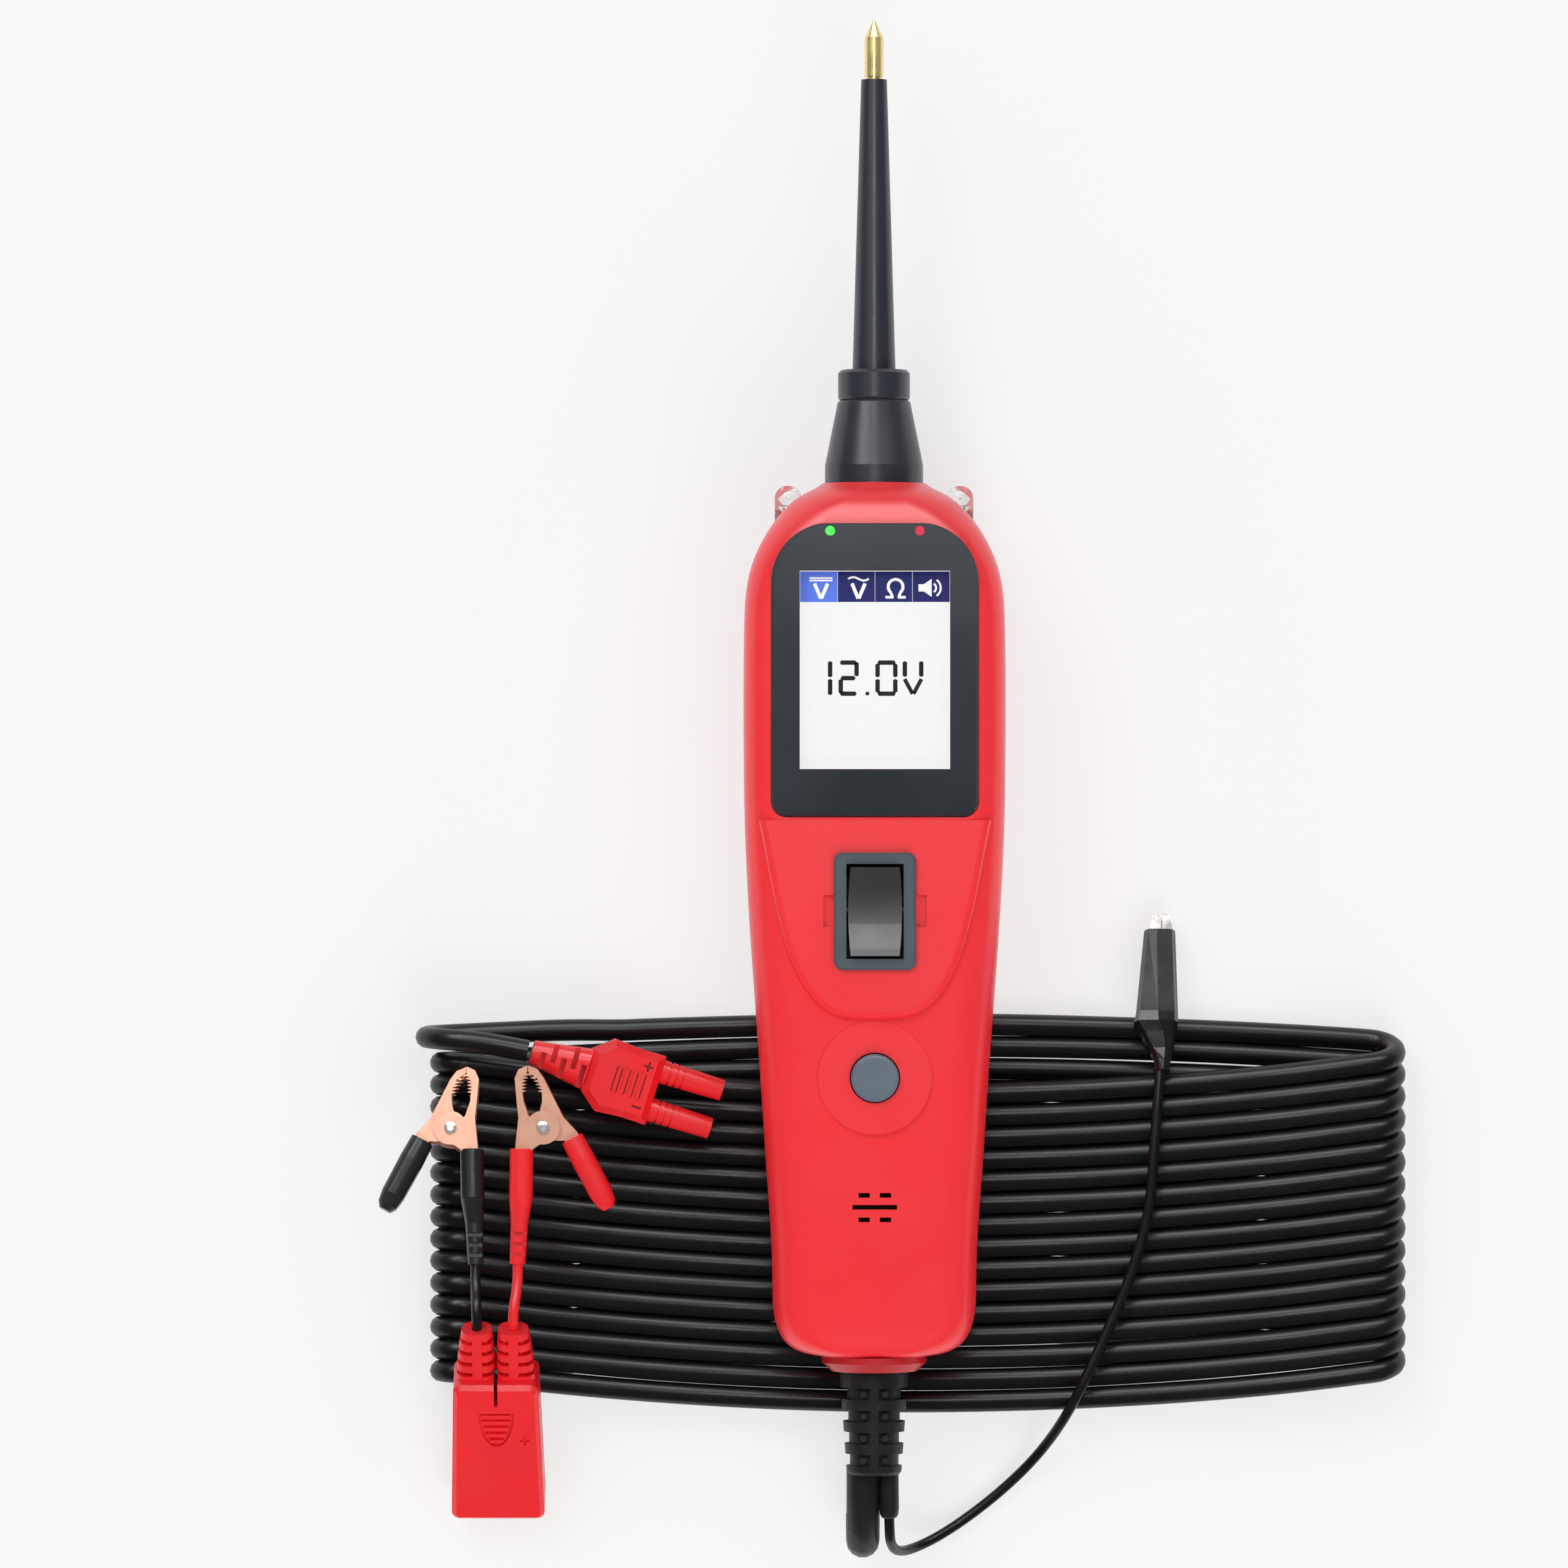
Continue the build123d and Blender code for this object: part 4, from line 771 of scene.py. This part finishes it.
class TEST_LIGHT_OT_controls(bpy.types.Operator):
    """Finish the rocker, the mode button and the indicators"""

    bl_idname = "test_light.controls"
    bl_label = "Controls"

    def execute(self, context):
        colours = settings()[1]
        slate = Finish("slate_moulding", colours.slate, 0.42)
        slate.mottled((0.08, 0.11, 0.134), 120, 0.6).rubbed(0.36, 0.5, 200).grained(1600, 0.00002, 0.5)
        dress(slate, "rocker_frame")
        button = Finish("button_slate", (0.115, 0.148, 0.19), 0.4)
        button.mottled((0.14, 0.175, 0.22), 160, 0.6).rubbed(0.34, 0.48, 260).grained(1900, 0.00002, 0.5)
        dress(button, "mode_button")
        paddle = Finish("paddle_black", (0.035, 0.038, 0.04), 0.36, Coat_Weight=0.15)
        # painted light and shade: the paddle is painted lighter towards its lower end, where light falls
        # on it
        paddle.painted_shade_along("Y", -0.026, -0.038, (0.11, 0.114, 0.118))
        dress(paddle.rubbed(0.3, 0.44, 160).grained(1700, 0.00002, 0.45), "rocker_paddle")
        for side, colour, glow in (("green", (0.05, 0.8, 0.07), 0.7), ("red", (0.6, 0.01, 0.05), 0.25)):
            lens = Finish(f"indicator_{side}_lens", colour, 0.18, Emission_Color=(*colour, 1),
                          Emission_Strength=glow, Coat_Weight=0.6)
            dress(lens.rubbed(0.14, 0.24, 500).grained(900, 0.00002, 0.2), f"indicator_{side}")
        return {"FINISHED"}


LAMP_X = 15.9
CUP_PROFILE = [(0.35, 41.5), (0.35, 43.0), (0.8, 43.3), (1.35, 44.6),
               (1.2, 44.6), (0.6, 43.6), (0.05, 43.5)]  # radius and Y


class TEST_LIGHT_OT_lamps(bpy.types.Operator):
    """Finish the two clear lamps and set a bright cup in each"""

    bl_idname = "test_light.lamps"
    bl_label = "Lamps"

    def execute(self, context):
        clear = Finish("lamp_clear", (0.96, 0.97, 0.98), 0.05, Transmission_Weight=0.9, IOR=1.42)
        dress(clear.rubbed(0.03, 0.09, 300).grained(200, 0.00003, 0.15),
              "flashlight_led_left", "flashlight_led_right")
        cup = metal_finish("lamp_cup", (0.86, 0.86, 0.84), 0.2, (0.92, 0.92, 0.9), 300)
        for name, side in (("left", -1), ("right", 1)):
            verts, faces = lathe(CUP_PROFILE, (side * LAMP_X, AXIS_HEIGHT), 28)
            add_piece(f"lamp_cup_{name}", verts, faces, cup, "lamp_clear")
        return {"FINISHED"}


# ---- case screws, repeated by geometry nodes

SCREW_SPOTS = [(0.0, 41.0, 8.0), (16.5, -13.5, 8.0), (-16.5, -13.5, 8.0),
               (13.3, -68.0, 12.6), (-13.3, -68.0, 12.6), (11.5, -101.0, 12.6), (-11.5, -101.0, 12.6)]
HEAD_HEIGHT, SHANK_LENGTH = 1.7 * MM, 14.0 * MM
CROSS_LENGTH, CROSS_WIDTH, CROSS_DEPTH = 2.7 * MM, 0.55 * MM, 1.6 * MM


class NodeGroup:
    """A geometry tree with named inputs."""

    def __init__(self, name, inputs):
        self.tree = bpy.data.node_groups.new(name, "GeometryNodeTree")
        self.tree.interface.new_socket("Geometry", in_out="INPUT", socket_type="NodeSocketGeometry")
        self.ids = {}
        for title, kind, value in inputs:
            made = self.tree.interface.new_socket(title, in_out="INPUT", socket_type=kind)
            made.default_value = value
            self.ids[title] = made.identifier
        self.tree.interface.new_socket("Geometry", in_out="OUTPUT", socket_type="NodeSocketGeometry")
        self.given = self.tree.nodes.new("NodeGroupInput")
        self.out = self.tree.nodes.new("NodeGroupOutput")

    def add(self, kind, links=None, values=None, **options):
        return add_node(self.tree, kind, links, values, **options)

    def join(self, *parts):
        whole = self.add("GeometryNodeJoinGeometry")
        for part in parts:
            self.tree.links.new(part, whole.inputs[0])
        return whole.outputs[0]

    def moved(self, geometry, height):
        """The geometry, moved up or down."""
        return self.add("GeometryNodeTransform", {"Geometry": geometry},
                        {"Translation": (0, 0, height)}).outputs[0]

    def finish(self, geometry, material):
        """Turns the copies into one mesh and gives it its material."""
        real = self.add("GeometryNodeRealizeInstances", {"Geometry": geometry})
        painted = self.add("GeometryNodeSetMaterial", {"Geometry": real.outputs[0]},
                           {"Material": material})
        self.tree.links.new(painted.outputs[0], self.out.inputs[0])

    def grow(self, name, points, slot_name, values):
        """Runs the tree on points in millimetres and places the mesh that comes out."""
        mesh = bpy.data.meshes.new(name + "_spots")
        mesh.from_pydata([point(*p) for p in points], [], [])
        source = new_object(name + "_spots", mesh)
        modifier = source.modifiers.new("grow", "NODES")
        modifier.node_group = self.tree
        for title, value in values.items():
            modifier[self.ids[title]] = value
        return place_piece(name, mesh_from(source), smooth=False, recalculate=False)


def screw_group(material):
    """A cross-head screw on each point, its head just below and its shank above."""
    group = NodeGroup("case_screw_set", [("Head radius", "NodeSocketFloat", 2.4 * MM),
                                         ("Shank radius", "NodeSocketFloat", 1.25 * MM)])
    head = group.add("GeometryNodeMeshCylinder", {"Radius": group.given.outputs["Head radius"]},
                     {"Vertices": 40, "Depth": HEAD_HEIGHT})
    sizes = ((CROSS_LENGTH, CROSS_WIDTH, CROSS_DEPTH), (CROSS_WIDTH, CROSS_LENGTH, CROSS_DEPTH))
    slots = [group.add("GeometryNodeMeshCube", values={"Size": size}).outputs[0] for size in sizes]
    cross = group.join(*[group.moved(slot, -HEAD_HEIGHT / 2) for slot in slots])
    cut = group.add("GeometryNodeMeshBoolean", {0: head.outputs[0], 1: cross},
                    operation="DIFFERENCE", solver="EXACT")
    cut.inputs["Self Intersection"].default_value = True
    shank = group.add("GeometryNodeMeshCylinder", {"Radius": group.given.outputs["Shank radius"]},
                      {"Vertices": 24, "Depth": SHANK_LENGTH})
    screw = group.join(group.moved(cut.outputs[0], -HEAD_HEIGHT / 2 - 0.01 * MM),
                       group.moved(shank.outputs[0], SHANK_LENGTH / 2))
    placed = group.add("GeometryNodeInstanceOnPoints",
                       {"Points": group.given.outputs["Geometry"], "Instance": screw})
    group.finish(placed.outputs[0], material)
    return group


class TEST_LIGHT_OT_case_screws(bpy.types.Operator):
    """Set cross-head screws in the back shell"""

    bl_idname = "test_light.case_screws"
    bl_label = "Case screws"

    def execute(self, context):
        sizes = settings()[0]
        zinc = metal_finish("zinc_plate", (0.62, 0.62, 0.64), 0.3, (0.52, 0.52, 0.53), 400)
        screws = screw_group(zinc.material).grow("case_screw_set", SCREW_SPOTS, "steel",
                                                 {"Head radius": sizes.screw_head})
        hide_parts("case_screws")
        return {"FINISHED"}


# ---- plug, adapter and clips

PLUG_AT, PLUG_TURN, PLUG_SLOPE, PLUG_FACE = (-63.4, -56.5, 16.5), -17.5, 5.0, 3.8


def on_plug(u, v, w):
    """A point of the plug's own frame: u runs along it and w is its height."""
    slope, turn = math.radians(PLUG_SLOPE), math.radians(PLUG_TURN)
    along = u * math.cos(slope) + w * math.sin(slope)
    up = w * math.cos(slope) - u * math.sin(slope)
    return (PLUG_AT[0] + along * math.cos(turn) - v * math.sin(turn),
            PLUG_AT[1] + along * math.sin(turn) + v * math.cos(turn), PLUG_AT[2] + up)


def plug_painted_shade():
    """Dark lines of painted shade between the thumb ribs and in the plus and minus by the prongs: ranges
    of u, v and height.
    """
    marks = [(u, u + 0.22, -2.3, 2.3, PLUG_FACE - 0.1, PLUG_FACE + 0.03)
             for u in (15.7, 16.7, 18.2, 19.7, 21.2)]
    low, high = PLUG_FACE - 0.35, PLUG_FACE - 0.22
    marks += [(20.4, 22.2, 3.7, 4.1, low, high), (21.1, 21.5, 3.0, 4.8, low - 0.02, high - 0.02),
              (20.4, 22.2, -4.1, -3.7, low, high)]
    verts, faces = [], []
    for u0, u1, v0, v1, w0, w1 in marks:
        first = len(verts)
        verts += [on_plug(u, v, w) for w in (w0, w1) for u, v in box_outline(u0, u1, v0, v1)]
        faces += [[first + i for i in face] for face in
                  ((3, 2, 1, 0), (4, 5, 6, 7), (0, 1, 5, 4), (1, 2, 6, 5), (2, 3, 7, 6), (3, 0, 4, 7))]
    return verts, faces


class TEST_LIGHT_OT_plug_and_adapter(bpy.types.Operator):
    """Finish the supply plug with its marks of painted shade, the socket block and the adapter wires"""

    bl_idname = "test_light.plug_and_adapter"
    bl_label = "Plug and adapter"

    def execute(self, context):
        colours = settings()[1]
        red = vinyl_finish("red_vinyl", colours.red_vinyl, (0.74, 0.008, 0.02))
        dress(red, "supply_plug", "socket_block", "adapter_wire_red")
        dress(cord_finish("adapter_jacket"), "adapter_wire_black")
        # painted shade: dark red lines stand for the shade between the plug's ribs and in its recessed
        # plus and minus
        shade = Finish("painted_shade_red", (0.2, 0.004, 0.008), 0.5).grained(2000, 0.00001, 0.3)
        add_piece("plug_painted_shade", *plug_painted_shade(), shade, "red_shell", smooth=False)
        return {"FINISHED"}


# the ground clip's one-piece boot in its own frame: y, left edge, right edge, half height, ridge
GROUND_AT, GROUND_PITCH = (53.8, -43.6, 6.0), -17.0
GROUND_BOOT = [(9.3, -3.2, 2.6, 3.1, -0.9), (-6.6, -4.9, 2.9, 3.5, -0.9), (-8.4, -5.3, 2.9, 3.4, -0.8),
               (-10.4, -4.0, 2.5, 2.9, 0.1), (-13.4, -2.5, 2.0, 2.2, 0.4),
               (-15.4, -1.6, 1.5, 1.8, 0.2), (-17.4, -1.3, 1.2, 1.5, 0.0)]
GROUND_BOOT_WALL = 0.6


def on_ground_clip(x, y, z):
    """A point of the ground clip's own frame, in which the lead leaves at -Y."""
    turn = math.radians(GROUND_PITCH)
    return (GROUND_AT[0] + x, GROUND_AT[1] + y * math.cos(turn) - z * math.sin(turn),
            GROUND_AT[2] + y * math.sin(turn) + z * math.cos(turn))


def boot_ring(row, inset):
    """A ten-sided ring with a ridge along the middle of the upper and lower faces."""
    y, left, right, high, ridge = row
    left, right, high = left + inset, right - inset, high - inset
    upper = [(right, 0.0), (right, 0.5 * high), (right - 0.7, 0.92 * high), (ridge, high),
             (left + 0.7, 0.93 * high), (left, 0.5 * high), (left, 0.0)]
    lower = [(x, -z) for x, z in reversed(upper[1:-1])]
    return [on_ground_clip(x, y, z) for x, z in upper + lower]


def ground_boot_mesh(finish):
    """The boot's outside from the tail to the mouth, turned in over its wall."""
    rings = [boot_ring(row, 0.0) for row in reversed(GROUND_BOOT)]
    rings += [boot_ring(row, GROUND_BOOT_WALL) for row in GROUND_BOOT[:2]]
    steps = len(rings[0])
    verts = [v for ring in rings for v in ring]
    faces = []
    for first in range(0, len(verts) - steps, steps):
        for k in range(steps):
            after = (k + 1) % steps
            faces.append([first + k, first + after, first + steps + after, first + steps + k])
    faces.append(list(range(steps)))
    faces.append([len(verts) - steps + k for k in reversed(range(steps))])
    return add_piece("ground_boot_cover", verts, faces, finish, "black_rubber", smooth=False, body=None)


class TEST_LIGHT_OT_clips(bpy.types.Operator):
    """Finish the battery clips and the ground clip"""

    bl_idname = "test_light.clips"
    bl_label = "Clips"

    def execute(self, context):
        colours = settings()[1]
        copper = metal_finish("copper_plate", (0.86, 0.47, 0.33), 0.36, (0.80, 0.40, 0.28), 220, 0.45)
        nickel = metal_finish("nickel_plate", (0.78, 0.77, 0.75), 0.24, (0.66, 0.65, 0.64), 260, 0.6)
        red = vinyl_finish("red_boot", colours.red_vinyl, (0.72, 0.008, 0.02))
        black = vinyl_finish("black_boot", (0.014, 0.015, 0.016), (0.02, 0.021, 0.022))
        glossy = Finish("glossy_boot", (0.006, 0.006, 0.007), 0.24, Coat_Weight=0.3, Coat_Roughness=0.08)
        glossy.mottled((0.01, 0.01, 0.011), 80, 0.7).rubbed(0.2, 0.32, 120).grained(260, 0.0001, 0.3)
        for colour, boot in (("red", red), ("black", black)):
            dress(copper, f"{colour}_clip_jaw_fixed", f"{colour}_clip_jaw_moving")
            dress(nickel, f"{colour}_clip_rivet", f"{colour}_clip_spring")
            dress(boot, f"{colour}_clip_boot", f"{colour}_clip_lever_boot")
        dress(nickel, "ground_jaw_fixed", "ground_jaw_moving", "ground_rivet", "ground_spring")
        cover = ground_boot_mesh(glossy)
        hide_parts("ground_boot", "ground_lever_boot")
        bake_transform(cover)
        return {"FINISHED"}


class TEST_LIGHT_OT_inner_parts(bpy.types.Operator):
    """Finish the board and what stands on it"""

    bl_idname = "test_light.inner_parts"
    bl_label = "Inner parts"

    def execute(self, context):
        board = Finish("board_green", (0.012, 0.14, 0.05), 0.35)
        board.mottled((0.02, 0.2, 0.075), 90, 0.8).rubbed(0.3, 0.5, 200).grained(700, 0.00003, 0.4)
        dress(board, "main_board")
        dull = Finish("inner_black", (0.03, 0.03, 0.033), 0.55)
        dull.mottled((0.045, 0.045, 0.048), 200, 0.7).rubbed(0.48, 0.65, 300).grained(1500, 0.00003, 0.5)
        dress(dull, "display_frame", "button_switch", "speaker", "circuit_breaker")
        return {"FINISHED"}


# ---- stage


PALE = (0.955, 0.955, 0.955)  # the ground as the camera sees it
FLOOR_REACH, FLOOR_DROP = 3.0, 0.2 * MM
SHOW_THROUGH = 0.7  # share of its own colour that the camera sees


def lamp(name, place, aim, size, power, size_y=None):
    """A rectangular lamp that looks from its place at another one."""
    data = bpy.data.lights.new(name, "AREA")
    data.shape = "RECTANGLE"
    data.size, data.size_y, data.energy = size, size_y or size, power
    made = new_object(name, data)
    made.location = place
    made.rotation_mode = "QUATERNION"
    made.rotation_quaternion = (Vector(aim) - Vector(place)).to_track_quat("-Z", "Y")
    return made


def pale_for_camera(tree, shader):
    """Lets the camera and reflections see a share of a surface at its own pale colour."""
    path = add_node(tree, "ShaderNodeLightPath")
    seen = path.outputs["Is Camera Ray"]
    for other in ("Is Glossy Ray", "Is Transmission Ray"):
        most = add_node(tree, "ShaderNodeMath", {0: seen, 1: path.outputs[other]}, operation="MAXIMUM")
        seen = most.outputs[0]
    amount = add_node(tree, "ShaderNodeMath", {0: seen}, {1: SHOW_THROUGH}, operation="MULTIPLY")
    glow = add_node(tree, "ShaderNodeEmission", values={"Color": (*PALE, 1)})
    mix = add_node(tree, "ShaderNodeMixShader", {0: amount.outputs[0], 1: shader, 2: glow.outputs[0]})
    return mix.outputs[0]


def pale_floor():
    """A wide matt floor a little under the part."""
    mesh = bpy.data.meshes.new("floor")
    corners = box_outline(-FLOOR_REACH, FLOOR_REACH, -FLOOR_REACH, FLOOR_REACH)
    mesh.from_pydata([(x, y, -FLOOR_DROP) for x, y in corners], [], [(0, 1, 2, 3)])
    matt = Finish("pale_floor", (0.93, 0.93, 0.935), 0.9, Specular_IOR_Level=0.0)
    seen = pale_for_camera(matt.tree, matt.shader.outputs[0])
    matt.tree.links.new(seen, matt.tree.nodes["Material Output"].inputs["Surface"])
    mesh.materials.append(matt.material)
    return new_object("floor", mesh)


def surround(studio):
    """Even light from all sides, dimmer in glossy faces and pale to the camera."""
    world = bpy.data.worlds.new("surround")
    world.use_nodes = True
    tree = world.node_tree
    background = tree.nodes["Background"]
    background.inputs["Color"].default_value = (1, 1, 1, 1)
    path = add_node(tree, "ShaderNodeLightPath")
    dim = add_node(tree, "ShaderNodeMix", {"Factor": path.outputs["Is Glossy Ray"]},
                   {"A": studio.surround, "B": studio.reflected})
    tree.links.new(dim.outputs["Result"], background.inputs["Strength"])
    pale = add_node(tree, "ShaderNodeBackground", values={"Color": (*PALE, 1)})
    mix = add_node(tree, "ShaderNodeMixShader",
                   {0: path.outputs["Is Camera Ray"], 1: background.outputs[0], 2: pale.outputs[0]})
    tree.links.new(mix.outputs[0], tree.nodes["World Output"].inputs["Surface"])
    return world


class TEST_LIGHT_OT_stage(bpy.types.Operator):
    """Set the pale floor, the lamps and the surround"""

    bl_idname = "test_light.stage"
    bl_label = "Stage"

    def execute(self, context):
        studio = context.scene.test_light_studio
        pale_floor()
        context.scene.world = surround(studio)
        lamp("key_lamp", (-0.6, 0.75, 1.1), (0, 0, 0.02), 0.6, studio.key_power)
        fill = lamp("fill_lamp", (0.3, -0.9, 0.9), (0, 0, 0.02), 0.7, 1.1 * studio.key_power)
        fill.visible_glossy = False
        for name, place, aim, size, power, size_y in (
                ("cord_strip", (0.0, 0.95, 0.75), (0, -0.06, 0.01), 1.6, 14.0, 0.5),
                ("probe_strip", (0.0, 0.31, 1.0), (0, 0.31, 0.0), 0.14, 1.6, 0.38)):
            lamp(name, place, aim, size, power, size_y).visible_diffuse = False
        context.scene.view_settings.view_transform = "Standard"
        return {"FINISHED"}


class TEST_LIGHT_PT_panel(bpy.types.Panel):
    """Lists the operators of the test light"""

    bl_idname = "TEST_LIGHT_PT_panel"
    bl_label = "Circuit Test Light"
    bl_space_type = "VIEW_3D"
    bl_region_type = "UI"
    bl_category = "Test Light"

    def draw(self, context):
        for operator in OPERATORS:
            self.layout.operator(operator.bl_idname)
        for group in (context.scene.test_light_sizes, context.scene.test_light_colours,
                      context.scene.test_light_studio):
            box = self.layout.box()
            for key in group.__annotations__:
                box.prop(group, key)


OPERATORS = (TEST_LIGHT_OT_camera, TEST_LIGHT_OT_plug_and_adapter, TEST_LIGHT_OT_supply_cord,
             TEST_LIGHT_OT_ground_lead, TEST_LIGHT_OT_housing, TEST_LIGHT_OT_probe, TEST_LIGHT_OT_screen,
             TEST_LIGHT_OT_controls, TEST_LIGHT_OT_lamps, TEST_LIGHT_OT_case_screws, TEST_LIGHT_OT_clips,
             TEST_LIGHT_OT_inner_parts, TEST_LIGHT_OT_stage)
GROUPS = (TesterSizes, TesterColours, StudioSettings)
CLASSES = (*GROUPS, *OPERATORS, TEST_LIGHT_PT_panel)


def register():
    for cls in CLASSES:
        bpy.utils.register_class(cls)
    bpy.types.Scene.test_light_sizes = PointerProperty(type=TesterSizes)
    bpy.types.Scene.test_light_colours = PointerProperty(type=TesterColours)
    bpy.types.Scene.test_light_studio = PointerProperty(type=StudioSettings)


def unregister():
    del bpy.types.Scene.test_light_studio
    del bpy.types.Scene.test_light_colours
    del bpy.types.Scene.test_light_sizes
    for cls in reversed(CLASSES):
        bpy.utils.unregister_class(cls)


def main():
    register()
    for operator in OPERATORS:
        group, name = operator.bl_idname.split(".")
        getattr(getattr(bpy.ops, group), name)()


if __name__ == "__main__":
    main()
